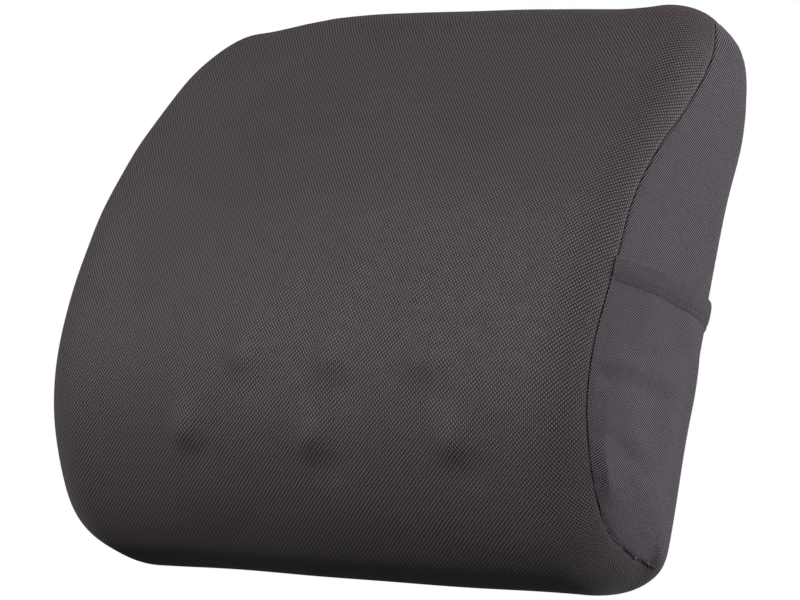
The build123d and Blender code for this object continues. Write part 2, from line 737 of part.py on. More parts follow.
with BuildPart() as battery_case:
    with BuildSketch(Plane.YZ.offset(CASE_X0)):
        with Locations((cy, cz)):
            Rectangle(CASE_Y1 - CASE_Y0, CASE_Z1 - CASE_Z0)
    extrude(amount=HALF_W - CASE_X0)
    # flange behind the fabric
    with BuildSketch(Plane.YZ.offset(SEAM_X - 1.6)):
        with Locations((fy, fz)):
            RectangleRounded(FLANGE_Y1 - FLANGE_Y0, FLANGE_Z1 - FLANGE_Z0, 2.5)
    extrude(amount=1.6)
    # battery bay and switch bay
    with BuildSketch(Plane.YZ.offset(CASE_X0 + 2)):
        with Locations(((BAY_Y0 + BAY_Y1) / 2, cz)):
            Rectangle(BAY_Y1 - BAY_Y0, CASE_Z1 - CASE_Z0 - 4)
        with Locations(((SW_Y0 + SW_Y1) / 2, cz)):
            Rectangle(SW_Y1 - SW_Y0, CASE_Z1 - CASE_Z0 - 4)
    extrude(amount=30, mode=Mode.SUBTRACT)
    with BuildSketch(Plane.YZ.offset(SEAM_X - 3)):
        with Locations(*SCREWS):
            Circle(1.0)
    extrude(amount=4, mode=Mode.SUBTRACT)
save(battery_case, "battery_case")

BTN_Y, BTN_Z = -12.0, 96.0
with BuildPart() as case_bezel:
    # base frame against the fabric: closed below and at the switch side, open at the top of the bay
    with BuildSketch(Plane.YZ.offset(HALF_W)):
        with Locations((fy, (FLANGE_Z0 + CASE_Z0) / 2)):
            Rectangle(FLANGE_Y1 - FLANGE_Y0, CASE_Z0 - FLANGE_Z0)
        with Locations(((FLANGE_Y0 - 4.9) / 2, fz)):
            Rectangle(-4.9 - FLANGE_Y0, FLANGE_Z1 - FLANGE_Z0)
        with Locations((45.2, fz)):
            Rectangle(2.6, FLANGE_Z1 - FLANGE_Z0)
    extrude(amount=BEZEL_X1 - HALF_W)
    # grooves that guide the door
    with BuildSketch(Plane.YZ.offset(DOOR_X0 - 0.15)):
        with Locations((BAY_Y0 - 2.0, (CASE_Z0 + FLANGE_Z1) / 2 + 0.2), (BAY_Y1 + 2.0, (CASE_Z0 + FLANGE_Z1) / 2 + 0.2)):
            Rectangle(2.2, FLANGE_Z1 - CASE_Z0 + 0.4)
    extrude(amount=DOOR_X1 - DOOR_X0 + 0.3, mode=Mode.SUBTRACT)
    # button window
    with BuildSketch(Plane.YZ.offset(HALF_W - 1)):
        with Locations((BTN_Y, BTN_Z)):
            RectangleRounded(8.6, 14.6, 2.3)
    extrude(amount=5, mode=Mode.SUBTRACT)
    # screws
    with BuildSketch(Plane.YZ.offset(HALF_W - 1)):
        with Locations(*SCREWS):
            Circle(1.1)
    extrude(amount=5, mode=Mode.SUBTRACT)
    with BuildSketch(Plane.YZ.offset(HALF_W + 1.3)):
        with Locations(*SCREWS):
            Circle(2.1)
    extrude(amount=5, mode=Mode.SUBTRACT)
save(case_bezel, "case_bezel")

with BuildPart() as battery_door:
    with BuildSketch(Plane.YZ.offset(DOOR_X0)):
        with Locations(((BAY_Y0 + BAY_Y1) / 2, (CASE_Z0 + 0.4 + FLANGE_Z1 - 1) / 2)):
            Rectangle(BAY_Y1 - BAY_Y0 + 3.2, FLANGE_Z1 - 1 - CASE_Z0 - 0.4)
    extrude(amount=DOOR_X1 - DOOR_X0)
    # thumb ribs
    with BuildSketch(Plane.YZ.offset(DOOR_X1)):
        with Locations(((BAY_Y0 + BAY_Y1) / 2, 108.0)):
            with GridLocations(1, 2.4, 1, 6):
                Rectangle(22, 1.0)
    extrude(amount=0.7)
save(battery_door, "battery_door")

CELL_X = CASE_X0 + 2 + 7.6
CELL_Y = [4.6, 19.5, 34.4]
with BuildPart() as battery_cells:
    with BuildSketch(Plane.XY.offset(CASE_Z0 + 4.4)):
        with Locations(*[(CELL_X, y) for y in CELL_Y]):
            Circle(CELL_R)
    extrude(amount=CELL_L - 1.5)
    with BuildSketch(Plane.XY.offset(CASE_Z0 + 4.4)):
        with Locations(*[(CELL_X, y) for y in CELL_Y]):
            Circle(2.7)
    extrude(amount=CELL_L)
save(battery_cells, "battery_cells")

with BuildPart() as contact_plates:
    with BuildSketch(Plane.XY.offset(CASE_Z0 + 2.0)):
        with Locations(*[(CELL_X, y) for y in CELL_Y]):
            Rectangle(11, 11)
    extrude(amount=0.4)
    with BuildSketch(Plane.XY.offset(CASE_Z1 - 2.4)):
        with Locations(*[(CELL_X, y) for y in CELL_Y]):
            Rectangle(11, 11)
    extrude(amount=0.4)
save(contact_plates, "contact_plates")

# conical contact springs, as stacked turns joined by a core wire
with BuildPart() as contact_springs:
    for y in CELL_Y:
        for k, r in enumerate((4.6, 4.1, 3.6, 3.1)):
            with BuildSketch(Plane.XY.offset(CASE_Z0 + 2.4 + k * 0.5)):
                with Locations((CELL_X, y)):
                    Circle(r)
                    Circle(r - 0.9, mode=Mode.SUBTRACT)
            extrude(amount=0.5)
save(contact_springs, "contact_springs")

with BuildPart() as case_screws:
    with BuildSketch(Plane.YZ.offset(SEAM_X - 2.4)):
        with Locations(*SCREWS):
            Circle(0.95)
    extrude(amount=HALF_W + 1.3 - SEAM_X + 2.4)
    with BuildSketch(Plane.YZ.offset(HALF_W + 1.3)):
        with Locations(*SCREWS):
            Circle(1.95)
        with Locations(*SCREWS):
            Rectangle(2.6, 0.5, mode=Mode.SUBTRACT)
    extrude(amount=0.9)
save(case_screws, "case_screws")

with BuildPart() as switch_body:
    with BuildSketch(Plane.YZ.offset(CASE_X0 + 2)):
        with Locations((BTN_Y, BTN_Z)):
            Rectangle(11, 17)
    extrude(amount=9)
    with BuildSketch(Plane.YZ.offset(CASE_X0 + 11)):
        with Locations((BTN_Y, BTN_Z)):
            Rectangle(9, 15)
            Rectangle(6.2, 12.2, mode=Mode.SUBTRACT)
    extrude(amount=3.4)
save(switch_body, "switch_body")

with BuildPart() as power_button:
    with BuildSketch(Plane.YZ.offset(HALF_W - 2.2)):
        with Locations((BTN_Y, BTN_Z)):
            RectangleRounded(8.0, 14.0, 2.0)
    extrude(amount=4.7)
    with BuildSketch(Plane.YZ.offset(CASE_X0 + 13.5)):
        with Locations((BTN_Y, BTN_Z)):
            Rectangle(5.6, 11.6)
    extrude(amount=HALF_W - 2.0 - CASE_X0 - 13.5)
    fillet(power_button.edges().group_by(Axis.X)[-1], 0.6)
save(power_button, "power_button")
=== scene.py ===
"""Looks of the lumbar support cushion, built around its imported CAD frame. Metres, row frame."""
import math

import bpy
import numpy as np
from mathutils import Matrix, Vector
from mathutils.geometry import delaunay_2d_cdt


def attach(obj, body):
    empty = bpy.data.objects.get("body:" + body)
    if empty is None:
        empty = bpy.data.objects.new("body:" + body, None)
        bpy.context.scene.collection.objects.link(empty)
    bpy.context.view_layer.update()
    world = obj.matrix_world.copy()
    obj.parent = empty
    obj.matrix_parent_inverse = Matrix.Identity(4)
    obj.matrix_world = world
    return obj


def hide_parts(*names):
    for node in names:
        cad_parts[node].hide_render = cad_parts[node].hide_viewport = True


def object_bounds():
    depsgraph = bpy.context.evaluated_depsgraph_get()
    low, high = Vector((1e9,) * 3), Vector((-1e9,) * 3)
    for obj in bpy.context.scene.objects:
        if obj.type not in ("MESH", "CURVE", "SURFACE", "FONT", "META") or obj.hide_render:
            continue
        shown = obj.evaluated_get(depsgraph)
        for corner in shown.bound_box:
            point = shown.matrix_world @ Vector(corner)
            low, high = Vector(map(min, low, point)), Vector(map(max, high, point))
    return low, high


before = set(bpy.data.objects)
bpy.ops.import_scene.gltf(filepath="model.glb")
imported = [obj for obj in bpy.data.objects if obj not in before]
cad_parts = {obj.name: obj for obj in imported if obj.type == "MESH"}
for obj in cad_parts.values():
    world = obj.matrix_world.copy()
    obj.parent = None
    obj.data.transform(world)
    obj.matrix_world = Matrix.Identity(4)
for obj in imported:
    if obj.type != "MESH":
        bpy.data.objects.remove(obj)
cad_lo, cad_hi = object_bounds()
MM = 0.001
ROOT = "cushion"

# ---------------------------------------------------------------------------
# node helpers
# ---------------------------------------------------------------------------


class Net:
    """A small writer for shader node trees."""

    def __init__(self, tree):
        self.tree = tree

    def node(self, kind, **props):
        n = self.tree.nodes.new(kind)
        for k, v in props.items():
            setattr(n, k, v)
        return n

    def plug(self, sock, value):
        if isinstance(value, bpy.types.NodeSocket):
            self.tree.links.new(value, sock)
        else:
            sock.default_value = value

    def math(self, op, a, b=None, c=None):
        n = self.node("ShaderNodeMath", operation=op)
        for i, v in enumerate((a, b, c)):
            if v is not None:
                self.plug(n.inputs[i], v)
        return n.outputs[0]

    def add(self, a, b):
        return self.math("ADD", a, b)

    def sub(self, a, b):
        return self.math("SUBTRACT", a, b)

    def mul(self, a, b):
        return self.math("MULTIPLY", a, b)

    def sin(self, a):
        return self.math("SINE", a)

    def ramp(self, fac, stops):
        n = self.node("ShaderNodeValToRGB")
        cr = n.color_ramp
        while len(cr.elements) < len(stops):
            cr.elements.new(0.5)
        for e, (p, c) in zip(cr.elements, stops):
            e.position = p
            e.color = (*c, 1.0) if len(c) == 3 else c
        self.plug(n.inputs[0], fac)
        return n.outputs[0]

    def noise(self, vec, scale, detail=2.0, rough=0.5, distortion=0.0):
        n = self.node("ShaderNodeTexNoise")
        self.plug(n.inputs["Vector"], vec)
        n.inputs["Scale"].default_value = scale
        n.inputs["Detail"].default_value = detail
        n.inputs["Roughness"].default_value = rough
        n.inputs["Distortion"].default_value = distortion
        return n.outputs["Fac"]

    def mix(self, fac, a, b, mode="MIX"):
        n = self.node("ShaderNodeMix", data_type="RGBA", blend_type=mode)
        self.plug(n.inputs[0], fac)
        self.plug(n.inputs[6], a)
        self.plug(n.inputs[7], b)
        return n.outputs[2]

    def bump(self, height, strength, distance, normal=None):
        n = self.node("ShaderNodeBump")
        n.inputs["Strength"].default_value = strength
        n.inputs["Distance"].default_value = distance
        self.plug(n.inputs["Height"], height)
        if normal is not None:
            self.plug(n.inputs["Normal"], normal)
        return n.outputs[0]


def rgb(r, g, b):
    """sRGB 0-255 to linear, with alpha."""
    out = []
    for v in (r, g, b):
        v /= 255.0
        out.append(v / 12.92 if v <= 0.04045 else ((v + 0.055) / 1.055) ** 2.4)
    return (*out, 1.0)


def material(name):
    m = bpy.data.materials.new(name)
    m.use_nodes = True
    t = m.node_tree
    t.nodes.clear()
    net = Net(t)
    out = net.node("ShaderNodeOutputMaterial")
    bsdf = net.node("ShaderNodeBsdfPrincipled")
    t.links.new(bsdf.outputs[0], out.inputs[0])
    return m, net, bsdf


def scaled(c, k):
    return (min(1, c[0] * k), min(1, c[1] * k), min(1, c[2] * k), 1.0)


def knit_material(name, base, kind, angle=0.0, pitch=1.4, contrast=0.55, sheen=0.3, bump=0.6,
                  rough=0.82, flip=1.0, yarn_noise=0.35, gloss=0.28):
    """Fine knitted cover fabric: kind 'stitch' has V-shaped stitches in rows, 'twill' diagonal ribs."""
    m, net, bsdf = material(name)
    uv = net.node("ShaderNodeUVMap", uv_map="cloth")
    sep = net.node("ShaderNodeSeparateXYZ")
    net.tree.links.new(uv.outputs[0], sep.inputs[0])
    u, v = sep.outputs[0], sep.outputs[1]
    # yarns wander a little
    wob = net.noise(uv.outputs[0], 55.0, 2.0, 0.5)
    wob2 = net.noise(uv.outputs[0], 420.0, 1.0, 0.5)
    wander = net.mul(net.sub(wob, 0.5), 0.0012)
    u = net.add(u, wander)
    v = net.add(v, net.mul(net.sub(wob2, 0.5), 0.00022))
    k = 2 * math.pi / (pitch * MM)
    if kind == "stitch":
        # wales along v, each a column of V-shaped stitches
        ph = net.mul(u, k * 0.5)
        rows = net.mul(net.sin(ph), net.sin(net.add(net.mul(v, k * 0.43), net.mul(ph, 0.12))))
        wale = net.math("COSINE", net.mul(ph, 2.0))
        height = net.add(net.add(net.mul(rows, 0.5), net.mul(wale, -0.22)), 0.5)
    else:
        ca, sa = math.cos(angle), math.sin(angle)
        across = net.add(net.mul(u, ca), net.mul(v, sa))
        along = net.add(net.mul(u, -sa), net.mul(v, ca))
        rib = net.sin(net.mul(across, k))
        tick = net.sin(net.add(net.mul(along, k * 0.9), net.mul(rib, 1.1 * flip)))
        height = net.add(net.mul(rib, 0.42), net.mul(tick, 0.2))
        height = net.add(height, 0.5)
    # the yarn catches the light unevenly from place to place
    patch = net.noise(uv.outputs[0], 160.0, 2.0, 0.6)
    height = net.add(net.mul(net.sub(height, 0.5), net.math("MULTIPLY_ADD", patch, 1.9, 0.05)), 0.5)
    fuzz = net.noise(uv.outputs[0], 1500.0, 2.0, 0.6)
    height = net.add(height, net.mul(net.sub(fuzz, 0.5), yarn_noise))
    shade = net.ramp(height, [(0.24, scaled(base, max(0.08, 1 - contrast))[:3]), (0.5, scaled(base, 0.92)[:3]),
                              (0.82, scaled(base, 1 + contrast * 2.0)[:3])])
    # broad unevenness of the dye and of the stretch
    broad = net.noise(uv.outputs[0], 9.0, 3.0, 0.55)
    tone = net.ramp(broad, [(0.3, (0.93, 0.93, 0.93)), (0.7, (1.06, 1.05, 1.05))])
    col = net.mix(1.0, shade, tone, "MULTIPLY")
    # odd lighter fibres
    fleck = net.noise(uv.outputs[0], 900.0, 1.0, 0.4)
    fl = net.ramp(fleck, [(0.62, (0, 0, 0)), (0.78, (1, 1, 1))])
    col = net.mix(net.mul(fl, 0.22), col, scaled(base, 1.9))
    net.plug(bsdf.inputs["Base Color"], col)
    rgh = net.ramp(height, [(0.0, (rough + 0.1,) * 3), (1.0, (rough - 0.1,) * 3)])
    net.plug(bsdf.inputs["Roughness"], rgh)
    bsdf.inputs["Specular IOR Level"].default_value = gloss
    bsdf.inputs["Sheen Weight"].default_value = sheen
    bsdf.inputs["Sheen Roughness"].default_value = 0.38
    bsdf.inputs["Sheen Tint"].default_value = (0.8, 0.76, 0.78, 1.0)
    coarse = net.noise(uv.outputs[0], 140.0, 2.0, 0.5)
    nb = net.bump(coarse, 0.12, 0.0012)
    net.plug(bsdf.inputs["Normal"], net.bump(height, bump, 0.00035, nb))
    return m


def webbing_material(name, base):
    """Ribbed elastic webbing."""
    m, net, bsdf = material(name)
    uv = net.node("ShaderNodeUVMap", uv_map="cloth")
    sep = net.node("ShaderNodeSeparateXYZ")
    net.tree.links.new(uv.outputs[0], sep.inputs[0])
    k = 2 * math.pi / 0.0019
    ribs = net.sin(net.mul(sep.outputs[1], k))
    cross = net.sin(net.add(net.mul(sep.outputs[0], 2 * math.pi / 0.0014), net.mul(ribs, 0.8)))
    h = net.add(net.add(net.mul(ribs, 0.35), net.mul(cross, 0.2)), 0.5)
    h = net.add(h, net.mul(net.sub(net.noise(uv.outputs[0], 2400.0, 2.0), 0.5), 0.3))
    col = net.ramp(h, [(0.1, scaled(base, 0.45)[:3]), (0.6, base[:3]), (1.0, scaled(base, 1.9)[:3])])
    net.plug(bsdf.inputs["Base Color"], col)
    net.plug(bsdf.inputs["Roughness"], net.ramp(h, [(0, (0.9,) * 3), (1, (0.62,) * 3)]))
    bsdf.inputs["Sheen Weight"].default_value = 0.2
    bsdf.inputs["Specular IOR Level"].default_value = 0.3
    net.plug(bsdf.inputs["Normal"], net.bump(h, 0.8, 0.0004))
    return m


def foam_material(name, base, scale=900.0):
    """Open-cell foam."""
    m, net, bsdf = material(name)
    co = net.node("ShaderNodeTexCoord").outputs["Object"]
    v = net.node("ShaderNodeTexVoronoi", feature="F1")
    net.plug(v.inputs["Vector"], co)
    v.inputs["Scale"].default_value = scale
    cells = v.outputs["Distance"]
    big = net.noise(co, 18.0, 3.0)
    col = net.ramp(cells, [(0.0, scaled(base, 0.55)[:3]), (0.5, base[:3]), (1.0, scaled(base, 1.1)[:3])])
    tone = net.ramp(big, [(0.3, (0.9, 0.9, 0.88)), (0.7, (1.0, 1.0, 1.0))])
    net.plug(bsdf.inputs["Base Color"], net.mix(1.0, col, tone, "MULTIPLY"))
    net.plug(bsdf.inputs["Roughness"], net.ramp(cells, [(0, (0.98,) * 3), (1, (0.85,) * 3)]))
    bsdf.inputs["Sheen Weight"].default_value = 0.15
    net.plug(bsdf.inputs["Normal"], net.bump(cells, 0.7, 0.0006))
    return m


def moulded_material(name, base, rough=0.45, grain=1500.0, strength=0.25, coat=0.0):
    """Moulded plastic or rubber with a fine spark-eroded grain."""
    m, net, bsdf = material(name)
    co = net.node("ShaderNodeTexCoord").outputs["Object"]
    g = net.noise(co, grain, 3.0, 0.6)
    big = net.noise(co, 30.0, 3.0, 0.5)
    col = net.ramp(big, [(0.25, scaled(base, 0.88)[:3]), (0.75, scaled(base, 1.1)[:3])])
    geo = net.node("ShaderNodeNewGeometry")
    edge = net.ramp(geo.outputs["Pointiness"], [(0.49, (0, 0, 0)), (0.56, (1, 1, 1))])
    col = net.mix(net.mul(edge, 0.35), col, scaled(base, 1.7))
    net.plug(bsdf.inputs["Base Color"], col)
    r = net.add(net.mul(net.sub(g, 0.5), 0.25), rough)
    net.plug(bsdf.inputs["Roughness"], r)
    if coat:
        bsdf.inputs["Coat Weight"].default_value = coat
        bsdf.inputs["Coat Roughness"].default_value = 0.25
    net.plug(bsdf.inputs["Normal"], net.bump(g, strength, 0.0002))
    return m


def metal_material(name, base, rough=0.32, brushed=0.25):
    m, net, bsdf = material(name)
    co = net.node("ShaderNodeTexCoord").outputs["Object"]
    mp = net.node("ShaderNodeMapping")
    net.plug(mp.inputs["Vector"], co)
    mp.inputs["Scale"].default_value = (1.0, 8.0, 8.0)
    s = net.noise(mp.outputs[0], 700.0, 3.0, 0.6)
    stain = net.noise(co, 120.0, 3.0, 0.6)
    col = net.ramp(stain, [(0.25, scaled(base, 0.78)[:3]), (0.7, base[:3])])
    geo = net.node("ShaderNodeNewGeometry")
    edge = net.ramp(geo.outputs["Pointiness"], [(0.5, (0, 0, 0)), (0.58, (1, 1, 1))])
    col = net.mix(net.mul(edge, 0.5), col, scaled(base, 1.35))
    net.plug(bsdf.inputs["Base Color"], col)
    bsdf.inputs["Metallic"].default_value = 1.0
    net.plug(bsdf.inputs["Roughness"], net.add(net.mul(net.sub(s, 0.5), brushed), rough))
    net.plug(bsdf.inputs["Normal"], net.bump(s, 0.12, 0.0001))
    return m


FRONT = rgb(75, 67, 69)
# the ends and the pocket are the same cloth as the front; their lighter tone here is painted light from the side lamp
SIDE_PAINTED_LIT = rgb(88, 81, 88)
MAT = {
    "knit_front": knit_material("knit_front", FRONT, "stitch", pitch=1.08, contrast=0.95, sheen=0.1, yarn_noise=0.8,
                                rough=0.62, gloss=0.5),
    "knit_side": knit_material("knit_side", SIDE_PAINTED_LIT, "twill", angle=math.radians(-30), pitch=1.3, contrast=1.0,
                               sheen=0.25, yarn_noise=0.6),
    # the hem is the same cloth as the pocket: its tone is lighter than the front, painted light as on the ends, and a
    # little darker than the pocket, painted shade on the hem band
    "knit_hem": knit_material("knit_hem", rgb(83, 76, 83), "twill", angle=math.radians(-36), pitch=1.25, contrast=1.0,
                              sheen=0.25, yarn_noise=0.6),
    "knit_pocket": knit_material("knit_pocket", SIDE_PAINTED_LIT, "twill", angle=math.radians(-34), pitch=1.25,
                                 contrast=1.0, sheen=0.25, yarn_noise=0.6),
    "knit_back": knit_material("knit_back", rgb(60, 56, 59), "twill", angle=math.radians(20), pitch=1.6,
                               contrast=0.7, sheen=0.2),
    "web": webbing_material("elastic_web", rgb(38, 36, 38)),
    "tape": webbing_material("zip_tape", rgb(44, 42, 44)),
    "thread": moulded_material("thread", rgb(52, 48, 52), 0.6, 2600.0, 0.6),
    "coil": moulded_material("zip_coil", rgb(40, 38, 40), 0.35, 900.0, 0.15),
    "foam_soft": foam_material("foam_soft", rgb(226, 221, 205), 1100.0),
    "foam_firm": foam_material("foam_firm", rgb(196, 198, 200), 700.0),
    "plate_plastic": moulded_material("plate_plastic", rgb(58, 60, 62), 0.5),
    "node_rubber": moulded_material("node_rubber", rgb(34, 34, 36), 0.62, 900.0, 0.3),
    "housing_plastic": moulded_material("housing_plastic", rgb(212, 210, 202), 0.42),
    "motor_steel": metal_material("motor_steel", (0.62, 0.62, 0.60, 1), 0.28),
    "shaft_steel": metal_material("shaft_steel", (0.70, 0.70, 0.69, 1), 0.18),
    "weight_brass": metal_material("weight_brass", (0.78, 0.56, 0.26, 1), 0.3),
    "pad_rubber": moulded_material("pad_rubber", rgb(40, 40, 40), 0.8, 600.0, 0.5),
    "screw_steel": metal_material("screw_steel", (0.5, 0.5, 0.5, 1), 0.35),
    "lead_pvc": moulded_material("lead_pvc", rgb(150, 30, 28), 0.4, 500.0, 0.1),
    "case_plastic": moulded_material("case_plastic", rgb(36, 36, 38), 0.48),
    "door_plastic": moulded_material("door_plastic", rgb(42, 42, 44), 0.5, 1200.0, 0.4),
    "cell_wrap": moulded_material("cell_wrap", rgb(56, 92, 70), 0.3, 400.0, 0.05, 0.4),
    "contact_nickel": metal_material("contact_nickel", (0.66, 0.64, 0.60, 1), 0.25),
    "switch_plastic": moulded_material("switch_plastic", rgb(46, 46, 50), 0.4),
    "button_rubber": moulded_material("button_rubber", rgb(128, 128, 132), 0.6, 800.0, 0.25),
    "zip_metal": metal_material("zip_metal", (0.16, 0.16, 0.17, 1), 0.34),
}

# ---------------------------------------------------------------------------
# mesh helpers
# ---------------------------------------------------------------------------


def step(x, a, b):
    t = np.clip((np.asarray(x, float) - a) / (b - a), 0, 1)
    return t * t * (3 - 2 * t)


def build(name, verts, faces, uvs=None, mat=None, slot=None, thick=None, outward=None, flat=False):
    """A mesh object from millimetre vertices. thick turns a sheet into a closed form, inwards."""
    verts = np.array(verts, float)
    if slot in ("knit_front", "knit_side", "knit_back"):
        # the stuffing fills the upper corner of the pocket end a little more
        k = step(verts[:, 0], 112, 178) * step(verts[:, 2], 250, 312)
        verts[:, 0] += 0.7 * k
        # and the top edge is not quite even from end to end
        edge = np.interp(verts[:, 0], [-179, -150, -125, -100, -80, -55, -30, 20, 70, 110, 140, 179],
                         [-1.4, -2.0, -1.0, 0.8, 1.5, 0.7, -0.3, -1.5, -1.9, -1.5, -0.3, 0.0])
        verts[:, 2] += 3.7 * k + edge * step(verts[:, 2], 255, 318)
    verts = verts * MM
    me = bpy.data.meshes.new(name)
    me.from_pydata([tuple(v) for v in verts], [], [tuple(int(i) for i in f) for f in faces])
    me.update()
    if uvs is not None:
        lay = me.uv_layers.new(name="cloth")
        loops = np.zeros(len(me.loops), np.int32)
        me.loops.foreach_get("vertex_index", loops)
        uvs = np.asarray(uvs, float) * MM
        lay.data.foreach_set("uv", uvs[loops].astype(np.float32).ravel())
    if outward is not None:
        n = np.zeros(len(me.polygons) * 3, np.float32)
        c = np.zeros(len(me.polygons) * 3, np.float32)
        me.polygons.foreach_get("normal", n)
        me.polygons.foreach_get("center", c)
        s = (n.reshape(-1, 3) * outward(c.reshape(-1, 3) / MM)).sum()
        if s < 0:
            me.flip_normals()
    o = bpy.data.objects.new(name, me)
    bpy.context.scene.collection.objects.link(o)
    if not flat:
        me.shade_smooth()
    if thick:
        md = o.modifiers.new("thick", "SOLIDIFY")
        md.thickness = thick * MM
        md.offset = -1
        md.use_rim = True
        md.use_quality_normals = True
        dg = bpy.context.evaluated_depsgraph_get()
        new = bpy.data.meshes.new_from_object(o.evaluated_get(dg))
        o.modifiers.clear()
        o.data = new
        new.name = name
    if mat is not None:
        o.data.materials.clear()
        o.data.materials.append(mat)
    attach(o, ROOT)
    return o


def grid_faces(rows, cols, wrap=False):
    f = []
    for i in range(rows - 1):
        for j in range(cols - 1 if not wrap else cols):
            a, b = i * cols + j, i * cols + (j + 1) % cols
            f.append((a, b, b + cols, a + cols))
    return f


def closed_spline(pts, n):
    """n points, even in arc length, on the closed cubic spline through pts."""
    p = np.asarray(pts, float)
    m = len(p)
    h = np.linalg.norm(np.roll(p, -1, 0) - p, axis=1)
    a = np.zeros((m, m))
    r = np.zeros((m, 2))
    for i in range(m):
        hp, hn = h[i - 1], h[i]
        a[i, (i - 1) % m] += hp
        a[i, i] += 2 * (hp + hn)
        a[i, (i + 1) % m] += hn
        r[i] = 6 * ((p[(i + 1) % m] - p[i]) / hn - (p[i] - p[i - 1]) / hp)
    mm = np.linalg.solve(a, r)
    out = []
    for i in range(m):
        k = (i + 1) % m
        t = np.linspace(0, 1, 60, endpoint=False)[:, None] * h[i]
        u = h[i] - t
        out.append((mm[i] * u**3 + mm[k] * t**3) / (6 * h[i]) + (p[i] / h[i] - mm[i] * h[i] / 6) * u
                   + (p[k] / h[i] - mm[k] * h[i] / 6) * t)
    q = np.concatenate(out)
    return even(q, n)


def even(q, n):
    q1 = np.concatenate([q, q[:1]])
    s = np.concatenate([[0], np.cumsum(np.linalg.norm(np.diff(q1, axis=0), axis=1))])
    u = np.linspace(0, s[-1], n, endpoint=False)
    return np.stack([np.interp(u, s, q1[:, 0]), np.interp(u, s, q1[:, 1])], 1)


def along(path, s):
    """Points of an open polyline at arc lengths s."""
    d = np.concatenate([[0], np.cumsum(np.linalg.norm(np.diff(path, axis=0), axis=1))])
    return np.stack([np.interp(s, d, path[:, k]) for k in range(path.shape[1])], 1), d[-1]


# ---------------------------------------------------------------------------
# the outer form: a side profile in Y and Z, carried along X, rounded at both ends
# ---------------------------------------------------------------------------
HALF = 178.7
CROWN = 5.8
PROFILE = [(70, 262), (65.9, 280.3), (58.6, 297.8), (48.8, 313.8), (34.7, 326), (16.4, 328.4), (0, 319.6),
           (-11.8, 304.5), (-20, 287), (-26.4, 269.5), (-33.2, 252.4), (-40.7, 235.3), (-47.7, 217.7),
           (-54.2, 199.9), (-59.7, 181.8), (-63.4, 163.4), (-66.2, 144.8), (-67.6, 126.2), (-67.6, 107.4),
           (-65.8, 88.9), (-61.4, 70.8), (-54.3, 53.7), (-44.7, 37.7), (-33.5, 22.9), (-21.5, 11), (-9.6, 4.1),
           (2, 1), (14, 0.1), (27, 0.1), (38.5, 1.4), (49, 4.2), (58.5, 8.9), (65.6, 16.5), (69.2, 26.5), (70, 40),
           (70, 60), (70, 85), (70, 110), (70, 135), (70, 160), (70, 185), (70, 210), (70, 238)]
# rounding radius of the two ends, by height, on the front and on the back
R_Z = [10, 50, 110, 160, 200, 235, 262, 290, 312, 326]
R_FRONT = [36.8, 34.8, 33.8, 34.2, 31.4, 27.6, 28.9, 36.2, 45.9, 50.0]
RB_Z = [20, 90, 160, 230, 300]
R_BACK = [20.4, 21.1, 26.8, 28.3, 23.8]
# angle round the end rounding at which the side seam runs, by share of the way round the profile
SEAM_U = [0.0, 0.06, 0.09, 0.1157, 0.1357, 0.16, 0.1857, 0.2029, 0.2214, 0.2357, 0.2471, 0.2729, 0.3, 0.3243, 0.3557,
          0.3914, 0.41, 0.4286, 0.4643, 0.5157, 0.5357, 0.5529, 0.5814, 0.6143, 0.6357, 0.6571, 0.6914, 0.72, 0.75, 0.80,
          0.86, 1.0]
SEAM_T = [36, 36, 37, 42, 53, 62, 69, 71.5, 71.8, 70.4, 68.2, 64.3, 61, 61.8, 64.6,
          65.6, 64.3, 63.4, 62.9, 64.1, 64.6, 66, 67.4, 66.8, 64.8, 63.6, 62.5, 60, 55, 45,
          38, 36]
NP = 1500
P = closed_spline(PROFILE, NP)
P = P[::1]
TAN = np.roll(P, -1, 0) - np.roll(P, 1, 0)
TAN /= np.linalg.norm(TAN, axis=1)[:, None]
NRM = np.stack([TAN[:, 1], -TAN[:, 0]], 1)
if (NRM * (P - P.mean(0))).sum() < 0:
    NRM = -NRM
STEP = np.linalg.norm(P[1] - P[0])
S = np.arange(NP) * STEP


def ringsmooth(a, w):
    k = np.ones(2 * w + 1) / (2 * w + 1)
    return np.convolve(np.concatenate([a[-w:], a, a[:w]]), k, "valid")


ny, nz = NRM[:, 0], NRM[:, 1]
w_back = np.clip((ny + 0.2) / 1.0, 0, 1)
RAD = np.interp(P[:, 1], R_Z, R_FRONT) * (1 - w_back) + np.interp(P[:, 1], RB_Z, R_BACK) * w_back
w_top, w_base = np.clip((nz - 0.55) / 0.45, 0, 1), np.clip((-nz - 0.55) / 0.45, 0, 1)
RAD = RAD * (1 - w_top) + 42.0 * w_top
RAD = RAD * (1 - w_base) + 36.3 * w_base
RAD = ringsmooth(RAD, 26)


def half_at(y, z):
    """Half length at (y, z): the ends pull in a little between the upper and lower back corners."""
    return HALF - 2.2 * step(z, 30, 110) * (1 - step(z, 200, 300)) * step(y, 20, 60)


HLF = half_at(P[:, 0], P[:, 1])
TS = ringsmooth(np.radians(np.interp(np.arange(NP) / NP, SEAM_U, SEAM_T)), 16)
CR = ringsmooth(CROWN * step(-ny, -0.75, -0.1) * (1 - step(-nz, 0.45, 0.9)), 12) + 0.6 * step(ny, 0.5, 1.0)


def at(arr, s):
    """Profile quantity at arc length s, closed."""
    s = np.mod(s, NP * STEP)
    if arr.ndim == 1:
        return np.interp(s, np.append(S, NP * STEP), np.append(arr, arr[0]))
    return np.stack([np.interp(s, np.append(S, NP * STEP), np.append(arr[:, k], arr[0, k]))
                     for k in range(arr.shape[1])], -1)


def s_at(y=None, z=None, side="front"):
    """Arc length where the profile crosses a height on the front or the back."""
    if side == "front":
        idx = [i for i in range(NP) if NRM[i, 0] < 0.2 and 4 < P[i, 1] < 322]
    else:
        idx = [i for i in range(NP) if NRM[i, 0] > 0.7]
    best = min(idx, key=lambda i: abs(P[i, 1] - z))
    return S[best]


